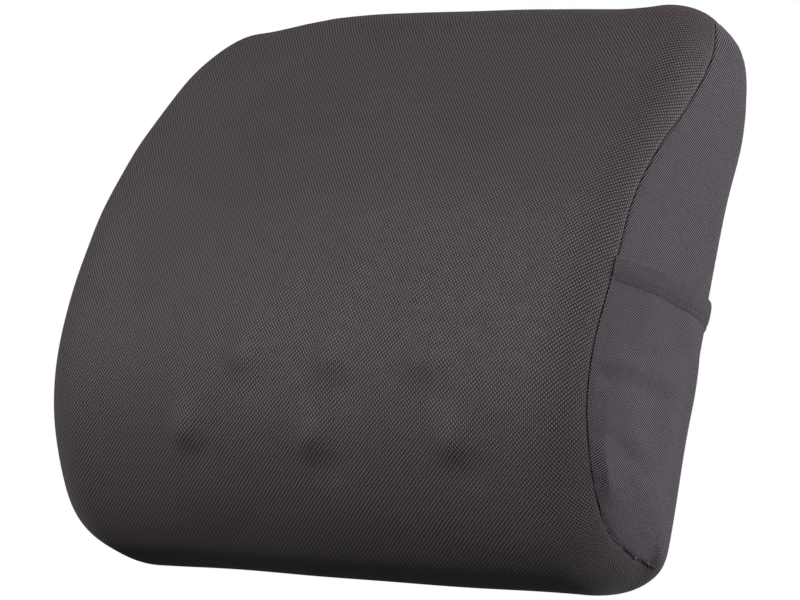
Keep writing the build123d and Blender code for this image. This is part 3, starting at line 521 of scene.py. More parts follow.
# raised massage nodes under the front panel: x, height z, how far they stand up
COLUMNS = [[(-64, 53), (-27, 90), (-7, 128), (-8, 174), (-4, 214)],
           [(20, 51), (30, 89), (32, 129), (35, 173), (36, 213)],
           [(106, 51), (87, 89), (73, 129), (77, 171), (76, 212)]]
RISE = [3.5, 2.7, 1.6, 0.7, 0.4]


def relief(x, s):
    """Height of the front panel's relief over the plain form, at x and arc length s."""
    h = np.zeros(np.broadcast(x, s).shape)
    for col in COLUMNS:
        sc = np.array([s_at(z=z) for _, z in col])
        xc = np.array([c[0] for c in col], float)
        for (xi, si, ri) in zip(xc, sc, RISE):
            dx, ds = x - xi, s - si
            r2 = (dx / 8.0) ** 2 + (ds / np.where(ds < 0, 12.5, 8.6)) ** 2
            h = h + ri * np.exp(-r2)
            # slack dip on the lower right of each node
            r3 = ((dx - 11.5) / 8.5) ** 2 + ((ds - 14.0) / 8.5) ** 2
            h = h - 0.37 * ri * np.exp(-r3)
        # cloth pulled from node to node
        o = np.argsort(sc)
        line = np.interp(s, sc[o], xc[o])
        inside = step(s, sc.min() - 40, sc.min() + 5) * (1 - step(s, sc.max() - 8, sc.max() + 14))
        h = h + 0.3 * inside * np.exp(-((x - line) / 11.0) ** 2)
    # very slight unevenness of the padding
    h = h + 0.35 * np.sin(x / 31.0 + 0.7) * np.sin(s / 43.0 + 1.9) + 0.18 * np.sin(x / 17.0 + s / 23.0)
    return h


def dip(e, depth=1.5, reach=2.8):
    """How far a panel turns in towards its seam, at distance e from it."""
    q = np.clip(1 - np.asarray(e, float) / reach, 0, 1)
    return depth * (1 - np.sqrt(np.clip(1 - q * q, 0, 1)))


EDGE = [0, 0.35, 0.8, 1.4, 2.1, 3.0, 4.4]


def stations(a, b, pitch):
    e = np.array(EDGE)
    lo, hi = a + e, b - e[::-1]
    n = max(2, int(round((hi[0] - lo[-1]) / pitch)))
    mid = np.linspace(lo[-1], hi[0], n + 1)[1:-1]
    return np.concatenate([lo, mid, hi])


def form_point(s, v, offset=0.0):
    """Point and normal on the outer form at profile arc length s and signed girth v from the middle."""
    p, n, r = at(P, s), at(NRM, s), at(RAD, s)
    n = n / np.linalg.norm(n, axis=-1, keepdims=True)
    cr = at(CR, s)
    a = at(HLF, s) - r
    m = np.abs(v)
    flat = m < a
    t = np.clip((m - a) / r, 0, math.pi / 2)
    x = np.where(flat, m, a + r * np.sin(t))
    q = np.clip(1 - (m / a) ** 2, 0, 1)
    rise = np.where(flat, cr * q**1.3, -r * (1 - np.cos(t)))
    slope = np.where(flat, -cr * 1.3 * q**0.3 * 2 * m / a**2, 0)
    c = np.where(flat, 1.0, np.cos(t))
    sn = np.where(flat, -slope, np.sin(t))
    ln = np.sqrt(c * c + sn * sn)
    c, sn = c / ln, sn / ln
    sg = np.sign(v)
    nn = np.stack([sg * sn, c * n[..., 0], c * n[..., 1]], -1)
    pt = np.stack([sg * x, p[..., 0] + n[..., 0] * rise, p[..., 1] + n[..., 1] * rise], -1)
    return pt + nn * np.asarray(offset)[..., None], nn


def panel(name, s0, s1, mat, slot, pitch_s=2.6, pitch_v=2.6, height=None, thick=1.6, inset=0.0, meet=None):
    """A cover panel that runs from the left side seam to the right one, between two lines along X."""
    ss = stations(s0, s1, pitch_s)
    vref = stations(-200.0, 200.0, pitch_v)
    rows, cols = len(ss), len(vref)
    vmax = at(HLF, ss) - at(RAD, ss) + at(RAD, ss) * at(TS, ss)
    e = 200.0 - np.abs(vref)
    # the edge stations keep their distance from the seam, the others share the rest
    V = np.where((e < 4.4 + 1e-6)[None, :], np.sign(vref)[None, :] * (vmax[:, None] - e[None, :]),
                 vref[None, :] * ((vmax - 4.4) / (200.0 - 4.4))[:, None])
    SS = np.repeat(ss[:, None], cols, 1)
    off = -dip(vmax[:, None] - np.abs(V)) - dip(np.minimum(SS - s0, s1 - SS), 1.0, 2.4) - inset
    if meet is not None:
        # beyond the zipper's ends the two back panels close up
        se, sm = meet
        SS = SS + (sm - se) * step(np.abs(V), 148.4, 153.2) * (1 - step(np.abs(SS - se), 0, 16))
    if height is not None:
        off = off + height(V, SS) * step(vmax[:, None] - np.abs(V), 0, 10)
    pt, nn = form_point(SS, V, off)
    uv = np.stack([V, -SS], -1)
    ref = pt.reshape(-1, 3)
    nrm = nn.reshape(-1, 3)

    def outward(c):
        idx = np.linspace(0, len(ref) - 1, 400).astype(int)
        d = ((c[:, None, :] - ref[None, idx, :]) ** 2).sum(-1).argmin(1)
        return nrm[idx][d]

    return build(name, ref, grid_faces(rows, cols), uv.reshape(-1, 2), mat, slot, thick, outward)


S_TOP, S_END = 0.0, s_at(z=30.0, side="back")
S_ZLO, S_ZHI = s_at(z=51.5, side="back"), s_at(z=60.5, side="back")
front = panel("front_cover", S_TOP, S_END, MAT["knit_front"], "knit_front", 2.4, 2.4, relief)
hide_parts("front_panel")
back_lo = panel("back_cover_lower", S_END, S_ZLO, MAT["knit_back"], "knit_back", 3.0, 3.0,
                meet=(S_ZLO, s_at(z=56.0, side="back") - 0.15))
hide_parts("back_panel_lower")
back_hi = panel("back_cover_upper", S_ZHI, NP * STEP, MAT["knit_back"], "knit_back", 4.0, 3.0,
                meet=(S_ZHI, s_at(z=56.0, side="back") + 0.15))
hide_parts("back_panel_upper")


# ---------------------------------------------------------------------------
# end faces
# ---------------------------------------------------------------------------
def end_height(q):
    """x, outward normal and radius of the rounded end at (y, z), by distance from the profile."""
    q = np.asarray(q, float)
    out_d, out_i = np.zeros(len(q)), np.zeros(len(q), int)
    for k in range(0, len(q), 2000):
        d2 = ((q[k:k + 2000, None, :] - P[None]) ** 2).sum(-1)
        out_i[k:k + 2000] = d2.argmin(1)
        out_d[k:k + 2000] = np.sqrt(d2.min(1))
    r = RAD[out_i]
    c = np.clip(1 - out_d / r, 0, 1)
    sn = np.sqrt(1 - c * c)
    n = NRM[out_i]
    x = half_at(q[:, 0], q[:, 1]) - r + r * sn
    return x, np.stack([sn, c * n[:, 0], c * n[:, 1]], 1), out_d


SEAM = P - NRM * (RAD * (1 - np.cos(TS)))[:, None]


def hem_line(y, drop=0.0):
    """Height of the pocket hem's top edge at y, less drop."""
    return 155.5 + (y + 52.0) * (13.0 / 104.0) + 1.1 * np.sin((y + 52) / 104 * math.pi) - drop


def flatten(x, q, right):
    """The end face stays flat over the battery case and under the pocket."""
    top = 176.0 + 1.6 * step(q[:, 1], 185, 235) * step(330 - q[:, 1], 20, 60)
    k = 1.2
    soft = -np.log(np.exp(-(x - top) * k) + 1) / k + top if False else top - np.log1p(np.exp((top - x) * k)) / k
    return soft


def unrolled(q, g=1.0):
    """Cloth coordinates on the end: the rounded rim is rolled out flat, g times its length."""
    q = np.asarray(q, float)
    out = q.copy()
    for k in range(0, len(q), 2000):
        d2 = ((q[k:k + 2000, None, :] - P[None]) ** 2).sum(-1)
        i = d2.argmin(1)
        r, d = RAD[i], np.sqrt(d2.min(1))
        t = np.arccos(np.clip(1 - d / r, 0, 1))
        out[k:k + 2000] += NRM[i] * (g * r * (math.pi / 2 - t) - np.clip(r - d, 0, None))[:, None]
    return out


def cap(side, name, mat, node):
    ring_e = [0, 0.35, 0.8, 1.4, 2.1, 3.0, 4.4, 6.5]
    idx = np.arange(0, NP, 5)
    loops = []
    for e in ring_e:
        t = TS[idx] + e / RAD[idx]
        loops.append(P[idx] - NRM[idx] * (RAD[idx] * (1 - np.cos(t)))[:, None])
    m = len(idx)
    q2 = np.concatenate(loops)
    faces = grid_faces(len(loops), m, wrap=True)
    inner = loops[-1]
    # interior points
    lo, hi = inner.min(0), inner.max(0)
    pts = []
    row = 0
    z = lo[1]
    while z < hi[1]:
        y = lo[0] + (1.7 if row % 2 else 0)
        while y < hi[0]:
            pts.append((y, z))
            y += 3.4
        z += 2.95
        row += 1
    pts = np.array(pts)
    d = np.sqrt(((pts[:, None] - inner[None]) ** 2).sum(-1)).min(1)
    near = ((pts[:, None] - P[None, ::3]) ** 2).sum(-1).argmin(1) * 3
    ins = ((P[near] - pts) * NRM[near]).sum(1)
    lim = RAD[near] * (1 - np.cos(TS[near] + 6.5 / RAD[near]))
    pts = pts[(d > 1.9) & (ins > lim)]
    hole = []
    if side > 0:
        y0, y1, z0, z1, r = -19.5, 42.0, 54.0, 112.0, 3.0
        for cy, cz, a0 in ((y1 - r, z1 - r, 0), (y0 + r, z1 - r, 90), (y0 + r, z0 + r, 180), (y1 - r, z0 + r, 270)):
            for k in range(5):
                a = math.radians(a0 + 22.5 * k)
                hole.append((cy + r * math.cos(a), cz + r * math.sin(a)))
        h = np.array(hole)
        dense = []
        for i in range(len(h)):
            a, b = h[i], h[(i + 1) % len(h)]
            n = max(1, int(round(np.linalg.norm(b - a) / 3.2)))
            dense += [tuple(a + (b - a) * k / n) for k in range(n)]
        hole = dense
        ha = np.array(hole)
        dh = np.sqrt(((pts[:, None] - ha[None]) ** 2).sum(-1)).min(1)
        inside = (pts[:, 0] > y0) & (pts[:, 0] < y1) & (pts[:, 1] > z0) & (pts[:, 1] < z1)
        pts = pts[(dh > 1.7) & ~inside]
    nin = len(inner)
    co = [Vector(p) for p in inner] + [Vector(p) for p in hole] + [Vector(p) for p in pts]
    edges = [(i, (i + 1) % nin) for i in range(nin)]
    edges += [(nin + i, nin + (i + 1) % len(hole)) for i in range(len(hole))]
    vv, _, ff, _, _, _ = delaunay_2d_cdt(co, edges, [], 1, 1e-6)
    vv = np.array([tuple(v) for v in vv])
    base = (len(loops) - 1) * m
    # match the returned points of the innermost loop to their own numbers
    mp = {}
    for i, v in enumerate(vv):
        d2 = ((inner - v) ** 2).sum(1)
        k = int(d2.argmin())
        mp[i] = base + k if d2[k] < 1e-6 else None
    extra = [i for i in range(len(vv)) if mp[i] is None]
    for k, i in enumerate(extra):
        mp[i] = len(q2) + k
    q2 = np.concatenate([q2, vv[extra]])
    for f in ff:
        c = vv[list(f)].mean(0)
        if side > 0 and -19.5 < c[0] < 42.0 and 54.0 < c[1] < 112.0:
            continue
        faces.append(tuple(mp[i] for i in f))
    x, n3, _ = end_height(q2)
    # distance along the cloth from the seam
    e_of = np.full(len(q2), 50.0)
    for k, e in enumerate(ring_e):
        e_of[k * m:(k + 1) * m] = e
    off = -dip(e_of)
    x = flatten(x, q2, side > 0)
    pt = np.column_stack([x, q2]) + n3 * off[:, None]
    if side > 0:
        # under the pocket the panel lies one layer deeper
        under = step(hem_line(q2[:, 0], 4.0) - q2[:, 1], -2, 3)
        pt = pt - n3 * (1.9 * under * (1 - step(e_of, 0, 14)))[:, None]
    # slight unevenness of the cloth
    pt[:, 0] += 0.25 * np.sin(q2[:, 0] / 19.0 + 0.4) * np.sin(q2[:, 1] / 27.0) * step(e_of, 0, 30)
    pt[:, 0] *= side
    uv = unrolled(q2) * [side, 1]
    o = build(name, pt, faces, uv, mat, "knit_side", 1.5, lambda c: np.tile([side, 0.0, 0.0], (len(c), 1)))
    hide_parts(node)
    return o


side_r = cap(1, "side_cover_right", MAT["knit_side"], "side_panel_right")
side_l = cap(-1, "side_cover_left", MAT["knit_side"], "side_panel_left")


# ---------------------------------------------------------------------------
# pocket on the right end: panel, hem and its stitches
# ---------------------------------------------------------------------------
def seam_path(lo_z_front, lo_z_back):
    """The side seam from the front under the base to the back, between two heights, densely."""
    i0 = min([i for i in range(NP) if NRM[i, 0] < 0 and 20 < P[i, 1] < 300],
             key=lambda i: abs(SEAM[i, 1] - lo_z_front(SEAM[i, 0])))
    i1 = min([i for i in range(NP) if NRM[i, 0] > 0.7 and P[i, 1] > 60],
             key=lambda i: abs(SEAM[i, 1] - lo_z_back(SEAM[i, 0])))
    # the pocket's edge laps just over the seam line
    run = SEAM[i0:i1 + 1]
    lap = 0.1 + 0.35 * np.exp(-((run[:, 1] - run[:, 1].min()) / 5.0) ** 2)
    return run + NRM[i0:i1 + 1] * lap[:, None]


def bulge(q):
    """How far the pocket stands off the end face."""
    y, z = q[:, 0], q[:, 1]
    d = np.zeros(len(q))
    for k in range(0, len(q), 2000):
        d[k:k + 2000] = np.sqrt(((q[k:k + 2000, None] - SEAM[None, ::3]) ** 2).sum(-1)).min(1)
    far = step(y, 20, 55)
    b = 3.6 * step(d, -4, 34) * (1 - far) + 2.1 * step(d, 3, 26) * far
    b = b + 0.9 * step(d, 6, 30) * np.exp(-((z - hem_line(y)) / 30.0) ** 2)
    # soft folds: two broad creases running from the front seam, one from the back
    def fold(y0, z0, y1, z1, depth, width, fade):
        a, c = np.array([y0, z0]), np.array([y1, z1])
        u = (c - a) / np.linalg.norm(c - a)
        t = (q - a) @ u
        w = (q - a) @ np.array([-u[1], u[0]])
        ln = np.linalg.norm(c - a)
        win = step(t, -fade, fade) * (1 - step(t, ln - fade * 1.6, ln + fade))
        return depth * np.exp(-(w / width) ** 2) * win
    f = -fold(-46, 92, 22, 104, 1.5, 5.5, 12) + fold(-44, 101, 14, 113, 0.9, 6.5, 14)
    f = f - fold(-34, 64, 14, 62, 1.3, 5.0, 12) + fold(-34, 72, 12, 72, 0.7, 6.0, 12)
    f = f - fold(58, 122, 18, 132, 0.9, 6.0, 12) + fold(30, 40, 55, 70, 0.6, 8.0, 12)
    f = f + 0.35 * np.sin(y / 8.5 + z / 21.0) * np.sin(z / 13.0 + 0.8)
    return b + f * step(d, 1, 10), d


def pocket_x(q):
    x, n3, _ = end_height(q)
    b, d = bulge(q)
    # the cloth lies over the rim of the battery case
    y, z = q[:, 0], q[:, 1]
    box = step(y, -37, -25) * (1 - step(y, 45, 57)) * step(z, 33, 48) * (1 - step(z, 122, 142)) * step(d, 0.3, 6)
    top = x + b + box * np.log1p(np.exp(np.clip((180.4 - x - b) * 1.6, -50, 50))) / 1.6
    return x, n3, top - x, d


def tfi(left, bottom, right, top, us, vs):
    """Grid between four curves. left and right run bottom to top, bottom and top left to right."""
    def ev(c, t):
        p, ln = along(c, np.array([0.0]))
        return along(c, np.asarray(t) * ln)[0]
    L, R_, B, T = ev(left, vs), ev(right, vs), ev(bottom, us), ev(top, us)
    U, V = us[None, :, None], vs[:, None, None]
    g = ((1 - U) * L[:, None] + U * R_[:, None] + (1 - V) * B[None] + V * T[None]
         - ((1 - U) * (1 - V) * B[0] + U * (1 - V) * B[-1] + (1 - U) * V * T[0] + U * V * T[-1]))
    return g


def ease(n, lo_edge, hi_edge, length):
    """0..1 stations, close together at the edges."""
    e = np.array([0, 0.35, 0.8, 1.4, 2.2, 3.4]) / length
    mid = np.linspace(e[-1], 1 - e[-1], n)[1:-1]
    return np.concatenate([e, mid, 1 - e[::-1]])


path = seam_path(lambda y: hem_line(y, 11.5), lambda y: hem_line(y, 11.5))
# rows run straight from the front seam to the back seam, and shrink to the seam's lowest point
kM = int(np.argmin(path[:, 1]))
left_c, right_c = path[:kM + 1][::-1], path[kM:]
top_c = np.array([(y, hem_line(y, 11.5)) for y in np.linspace(path[0, 0], path[-1, 0], 60)])
us = ease(54, 0, 0, 112.0)
vs = np.concatenate([[0.0012, 0.004, 0.009, 0.016, 0.025, 0.036, 0.05], np.linspace(0.066, 1.0, 62)])
lenL, lenR = along(left_c, np.array([0.0]))[1], along(right_c, np.array([0.0]))[1]
Lp, Rp = along(left_c, vs * lenL)[0], along(right_c, vs * lenR)[0]
G = Lp[:, None] * (1 - us)[None, :, None] + Rp[:, None] * us[None, :, None]
sag = top_c[:, 1] - (top_c[0, 1] + (top_c[-1, 1] - top_c[0, 1]) * np.linspace(0, 1, 60))
G[..., 1] += np.interp(us, np.linspace(0, 1, 60), sag)[None, :] * (vs ** 3)[:, None]
q2 = G.reshape(-1, 2)
px, pn, pb, pd = pocket_x(q2)
pt = np.column_stack([px, q2]) + pn * (0.3 - dip(pd, 0.9, 2.0))[:, None]
pt[:, 0] += pb
pocket = build("side_pocket_panel", pt, grid_faces(len(vs), len(us)), unrolled(q2, 1.4), MAT["knit_pocket"], "knit_side", 1.2,
               lambda c: np.tile([1.0, 0, 0], (len(c), 1)))
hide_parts("pocket_panel")

# hem: a folded band, closed all round, standing a little off the pocket panel
ip = min([i for i in range(NP) if NRM[i, 0] < 0 and 20 < P[i, 1] < 300],
         key=lambda i: abs(SEAM[i, 1] - hem_line(SEAM[i, 0], 6)))
iq = min([i for i in range(NP) if NRM[i, 0] > 0.7 and P[i, 1] > 60],
         key=lambda i: abs(SEAM[i, 1] - hem_line(SEAM[i, 0], 6)))
y_front, y_back = SEAM[ip, 0] - 0.3, SEAM[iq, 0] + 0.3


def hem_section(y, gape):
    """Closed cross-section of the hem band, the same at every y: rows of (height under the top edge, offset outwards).
    y is not used.
    """
    T = 1.1
    sec = []
    for a in np.linspace(0, 180, 11):          # folded top edge
        sec.append((T - T * math.sin(math.radians(a)), T * math.cos(math.radians(a)) + T))
    for h in np.linspace(1.6, 13.2, 9):        # inner leaf down
        sec.append((h, 0.0))
    for a in np.linspace(0, 180, 7):           # lower edge
        sec.append((13.9 + 0.7 * math.sin(math.radians(a)), 0.35 * (1 - math.cos(math.radians(a))) * 1.6))
    for h in np.linspace(13.2, 1.6, 9):        # outer leaf up, a little puffed, tight at the stitches
        puff = 0.45 * math.sin(math.pi * min(1, max(0, (12.4 - h) / 12.4))) ** 0.8
        groove = -0.8 * math.exp(-((h - 12.2) / 0.8) ** 2)
        sec.append((h, 2 * T + puff + groove))
    return sec


ys = stations(y_front, y_back, 2.2)
sec0 = hem_section(0, 0)
ns = len(sec0)
hv, huv = [], []
girth = np.concatenate([[0], np.cumsum([math.dist(sec0[k], sec0[k + 1]) for k in range(ns - 1)])])
for y in ys:
    q = np.array([(y, hem_line(y) - h) for h, _ in sec0])
    x, n3, b, d = pocket_x(q)
    o = np.array([w for _, w in sec0])
    e = min(y - y_front, y_back - y)
    # lean out towards the top edge in the middle
    h = np.array([hh for hh, _ in sec0])
    lean = 0.6 * step(e, 5, 35) * (1 - h / 14.0)
    p3 = np.column_stack([x, q]) + n3 * (0.1 + o - 1.0 - 0.6 * dip(e, 1.4, 3.0))[:, None]
    p3[:, 0] += b + lean
    hv.append(p3)
    uy = unrolled(np.array([(y, hem_line(y) - 7)]), 1.4)[0, 0]
    huv.append(np.column_stack([np.full(ns, uy), girth]))
hv, huv = np.concatenate(hv), np.concatenate(huv)
hf = grid_faces(len(ys), ns, wrap=True)
hf += [tuple(range(ns))[::-1], tuple((len(ys) - 1) * ns + k for k in range(ns))]
hem = build("side_pocket_hem", hv, hf, huv, MAT["knit_hem"], "knit_side", None,
            lambda c: np.column_stack([c[:, 0] - 181.0, np.zeros(len(c)), c[:, 2] - hem_line(c[:, 1], 7)]))
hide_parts("pocket_hem")


def capsule(a, b, r, n=8):
    """A stitch: a short rounded bar from a to b."""
    a, b = np.asarray(a, float), np.asarray(b, float)
    d = b - a
    L = np.linalg.norm(d)
    d = d / L
    t = np.array([0, 0, 1.0]) if abs(d[2]) < 0.9 else np.array([1.0, 0, 0])
    u = np.cross(d, t)
    u /= np.linalg.norm(u)
    w = np.cross(d, u)
    rings = [(-r * 0.95, 0.3), (-r * 0.6, 0.8), (0, 1.0), (L * 0.5, 1.08), (L, 1.0), (L + r * 0.6, 0.8), (L + r * 0.95, 0.3)]
    v = []
    for s, k in rings:
        for j in range(n):
            an = 2 * math.pi * j / n
            v.append(a + d * s + (u * math.cos(an) + w * math.sin(an)) * r * k)
    f = grid_faces(len(rings), n, wrap=True)
    f += [tuple(range(n))[::-1], tuple((len(rings) - 1) * n + j for j in range(n))]
    return np.array(v), f


def stitches(name, runs, r=0.3, length=2.5, gap=1.1, body_slot="thread", lift=0.12, normal=(1, 0, 0), closed_outward=None):
    """Stitch rows as raised thread bars along polylines."""
    V, F = [], []
    for run in runs:
        run = np.asarray(run, float)
        total = np.linalg.norm(np.diff(run, axis=0), axis=1).sum()
        n = max(1, int(round(total / (length + gap))))
        for k in range(n):
            s0 = (k + 0.5 * gap / (length + gap)) * total / n
            s1 = s0 + total / n * length / (length + gap)
            ab, _ = along(run, np.array([s0, s1]))
            v, f = capsule(ab[0], ab[1], r)
            off = sum(len(x) for x in V)
            V.append(v)
            F += [tuple(i + off for i in ff) for ff in f]
    return build(name, np.concatenate(V), F, None, MAT["thread"], body_slot)


def hem_surface(ys_, h_, out=0.0):
    q = np.array([(y, hem_line(y) - h_) for y in ys_])
    x, n3, b, d = pocket_x(q)
    e = np.minimum(ys_ - y_front, y_back - ys_)
    lean = 0.6 * step(e, 5, 35) * (1 - h_ / 14.0)
    p3 = np.column_stack([x, q]) + n3 * (0.1 + out - 1.0)
    p3[:, 0] += b + lean
    return p3


row = hem_surface(np.linspace(y_front + 2.5, y_back - 2.5, 90), 12.2, 1.5)
hem_st = stitches("pocket_hem_stitching", [row])

# elastic cord inside the hem
ce = hem_surface(np.linspace(y_front + 2, y_back - 2, 60), 5.0, 0.95)
n = 8
tv = []
for i, c in enumerate(ce):
    for j in range(n):
        a = 2 * math.pi * j / n
        tv.append(c + np.array([0.35 * math.cos(a), 0, 3.2 * math.sin(a)]))
tf_ = grid_faces(len(ce), n, wrap=True) + [tuple(range(n))[::-1], tuple((len(ce) - 1) * n + j for j in range(n))]
el = build("pocket_elastic_band", tv, tf_, [(p[1], p[2]) for p in tv], MAT["web"], "elastic_web",
           None, lambda c: c * 0 + np.array([0, 0, 0]))
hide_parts("pocket_elastic")

# ---------------------------------------------------------------------------
# foam inside: firm core and softer front layer
# ---------------------------------------------------------------------------


def foam(name, d0, mat, slot, nodes, comfort):
    """Closed foam form, d0 under the outer form; the comfort layer only covers the front. The argument comfort is not
    used.
    """
    ss = np.linspace(0, NP * STEP, 150, endpoint=False)
    vv_ = np.linspace(-1, 1, 61)
    vmax = at(HLF, ss) - at(RAD, ss) + at(RAD, ss) * (math.pi / 2) * 0.98
    V = vv_[None, :] * vmax[:, None]
    SS = np.repeat(ss[:, None], len(vv_), 1)
    pt, _ = form_point(SS, V, np.full(V.shape, -d0))
    rows, cols = V.shape
    f = []
    for i in range(rows):
        for j in range(cols - 1):
            a, b = i * cols + j, i * cols + j + 1
            c, d = ((i + 1) % rows) * cols + j + 1, ((i + 1) % rows) * cols + j
            f.append((a, b, c, d))
    pts = pt.reshape(-1, 3)
    # close both ends with a fan of shrinking loops towards a spine
    for j, sg in ((0, -1), (cols - 1, 1)):
        loop = [i * cols + j for i in range(rows)]
        prev = loop
        yz = pts[loop][:, 1:]
        spine = np.column_stack([np.interp(yz[:, 1], [0, 60, 150, 250, 330], [10, 2, 2, 26, 32]),
                                 np.clip(yz[:, 1], 55, 275)])
        for k in (0.3, 0.6, 0.85, 1.0):
            newp = np.column_stack([np.full(rows, pts[loop][:, 0].mean() + sg * 0.4), yz * (1 - k) + spine * k])
            st = len(pts)
            pts = np.concatenate([pts, newp])
            cur = list(range(st, st + rows))
            for i in range(rows):
                i2 = (i + 1) % rows
                f.append((prev[i], prev[i2], cur[i2], cur[i]) if sg > 0 else (prev[i2], prev[i], cur[i], cur[i2]))
            prev = cur
    o = build(name, pts, f, None, mat, slot)
    import bmesh
    bm = bmesh.new()
    bm.from_mesh(o.data)
    bmesh.ops.remove_doubles(bm, verts=bm.verts, dist=0.0004)
    bmesh.ops.recalc_face_normals(bm, faces=bm.faces)
    bm.to_mesh(o.data)
    bm.free()
    o.data.shade_smooth()
    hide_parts(*nodes)
    return o


foam("foam_core_body", 25.5, MAT["foam_firm"], "foam_firm", ["foam_core"], False)


def comfort():
    """The softer front layer: a curved slab that follows the front face."""
    s0, s1 = s_at(z=300.0), s_at(z=20.0)
    ss = np.linspace(s0, s1, 120)
    vv_ = np.linspace(-1, 1, 70)
    outer, inner = [], []
    rows, cols = len(ss), len(vv_)
    vmax = at(HLF, ss) - at(RAD, ss) + at(RAD, ss) * (at(TS, ss) - 0.12)
    V = vv_[None, :] * vmax[:, None]
    SS = np.repeat(ss[:, None], cols, 1)
    e = np.minimum(np.minimum(SS - s0, s1 - SS), vmax[:, None] - np.abs(V))
    top, _ = form_point(SS, V, -2.6 - dip(e, 6, 8))
    bot, _ = form_point(SS, V * 0.985, np.full(V.shape, -21.5) + dip(e, 4, 6))
    a, b = top.reshape(-1, 3), bot.reshape(-1, 3)
    f = grid_faces(rows, cols)
    f += [tuple(i + len(a) for i in q[::-1]) for q in grid_faces(rows, cols)]
    rim = ([j for j in range(cols)] + [i * cols + cols - 1 for i in range(1, rows)]
           + [(rows - 1) * cols + j for j in range(cols - 2, -1, -1)] + [i * cols for i in range(rows - 2, 0, -1)])
    for k in range(len(rim)):
        p, q = rim[k], rim[(k + 1) % len(rim)]
        f.append((q, p, p + len(a), q + len(a)))
    o = build("comfort_foam", np.concatenate([a, b]), f, None, MAT["foam_soft"], "foam_soft", None,
              lambda c: np.tile([0, -1.0, 0], (len(c), 1)) * 0 + 0)
    import bmesh
    bm = bmesh.new()
    bm.from_mesh(o.data)
    bmesh.ops.recalc_face_normals(bm, faces=bm.faces)
    bm.to_mesh(o.data)
    bm.free()
    o.data.shade_smooth()
    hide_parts("comfort_layer")


comfort()

# ---------------------------------------------------------------------------
# zipper: tapes and coils (slider, pull and stops stay as they are in the frame)
# ---------------------------------------------------------------------------


def tape(name, sign, node):
    ys_ = np.linspace(-153, 153, 154)
    prof = [(58.6 - 56, 69.25), (3.0, 69.35), (4.2, 69.2), (6.0, 69.05), (8.4, 68.9), (8.4, 68.4), (6.0, 68.45),
            (4.2, 68.5), (3.0, 68.5), (2.6, 68.6)]
    V, U = [], []
    for x in ys_:
        for h, y in prof:
            V.append((x, y + 0.04 * math.sin(x / 9.0), 56 + sign * h))
            U.append((x, h))
    f = grid_faces(len(ys_), len(prof), wrap=True)
    f += [tuple(range(len(prof)))[::-1], tuple((len(ys_) - 1) * len(prof) + k for k in range(len(prof)))]
    o = build(name, V, f, U, MAT["tape"], "zip_tape")
    recalc(o)
    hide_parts(node)
    return o


def recalc(o):
    import bmesh
    bm = bmesh.new()
    bm.from_mesh(o.data)
    bmesh.ops.recalc_face_normals(bm, faces=bm.faces)
    bm.to_mesh(o.data)
    bm.free()
    o.data.shade_smooth()


tape("zipper_cloth_upper", 1, "zipper_tape_upper")
tape("zipper_cloth_lower", -1, "zipper_tape_lower")


def coil(name, sign, node):
    """Spiral of the zipper: flattened loops round a line beside the middle."""
    turns, per = 150, 12
    pitch = 286.0 / turns
    path_ = []
    for i in range(turns * per + 1):
        a = 2 * math.pi * i / per
        x = -143 + pitch * i / per + (pitch * 0.5 if sign < 0 else 0) * 0.5
        path_.append((x, 68.9 + 0.72 * math.sin(a), 56 + sign * (1.5 - 1.15 * math.cos(a))))
    path_ = np.array(path_)
    tan = np.gradient(path_, axis=0)
    tan /= np.linalg.norm(tan, axis=1)[:, None]
    ref = np.array([1.0, 0, 0])
    V = []
    n = 5
    for p, t in zip(path_, tan):
        u = np.cross(t, ref)
        u /= np.linalg.norm(u)
        w = np.cross(t, u)
        for j in range(n):
            a = 2 * math.pi * j / n
            V.append(p + 0.3 * (u * math.cos(a) + w * math.sin(a)))
    f = grid_faces(len(path_), n, wrap=True)
    f += [tuple(range(n))[::-1], tuple((len(path_) - 1) * n + k for k in range(n))]
    o = build(name, V, f, None, MAT["coil"], "zip_coil")
    recalc(o)
    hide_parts(node)
    return o


coil("zipper_spiral_upper", 1, "zipper_coil_upper")
coil("zipper_spiral_lower", -1, "zipper_coil_lower")

# ---------------------------------------------------------------------------
# elastic chair strap across the back
# ---------------------------------------------------------------------------


def strap():
    xs = np.linspace(-154, 154, 160)
    zs = np.linspace(-19, 19, 25)
    V, U = [], []
    for x in xs:
        for z in zs:
            lift = 0.25 + 0.75 * step(144 - abs(x), 0, 8)
            curl = 0.35 * (z / 19) ** 4 * step(144 - abs(x), 0, 20)
            wave = 0.12 * math.sin(x / 6.3) * (1 - step(abs(x), 20, 150)) + 0.08 * math.sin(x / 11 + z / 5)
            V.append((x, 70.75 + 0.55 * lift + curl * 0.5 + wave * 0.5, 205 + z * (1 - 0.02 * math.cos(x / 154 * 1.5))))
            U.append((x, z))
    o = build("chair_strap_webbing", V, grid_faces(len(xs), len(zs)), U, MAT["web"], "elastic_web", 1.1,
              lambda c: np.tile([0, 1.0, 0], (len(c), 1)))
    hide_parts("chair_strap")
    runs = []
    for sg in (-1, 1):
        x0, x1, z0, z1, y = sg * 145.5, sg * 152.6, 189.0, 221.0, 71.35
        c = [(x0, y, z0), (x1, y, z0), (x1, y, z1), (x0, y, z1)]
        runs += [[c[0], c[1]], [c[1], c[2]], [c[2], c[3]], [c[3], c[0]], [c[0], c[2]], [c[1], c[3]]]
    st = stitches("strap_stitching", runs, r=0.26, length=2.2, gap=0.8)
    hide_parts("strap_patches")


strap()

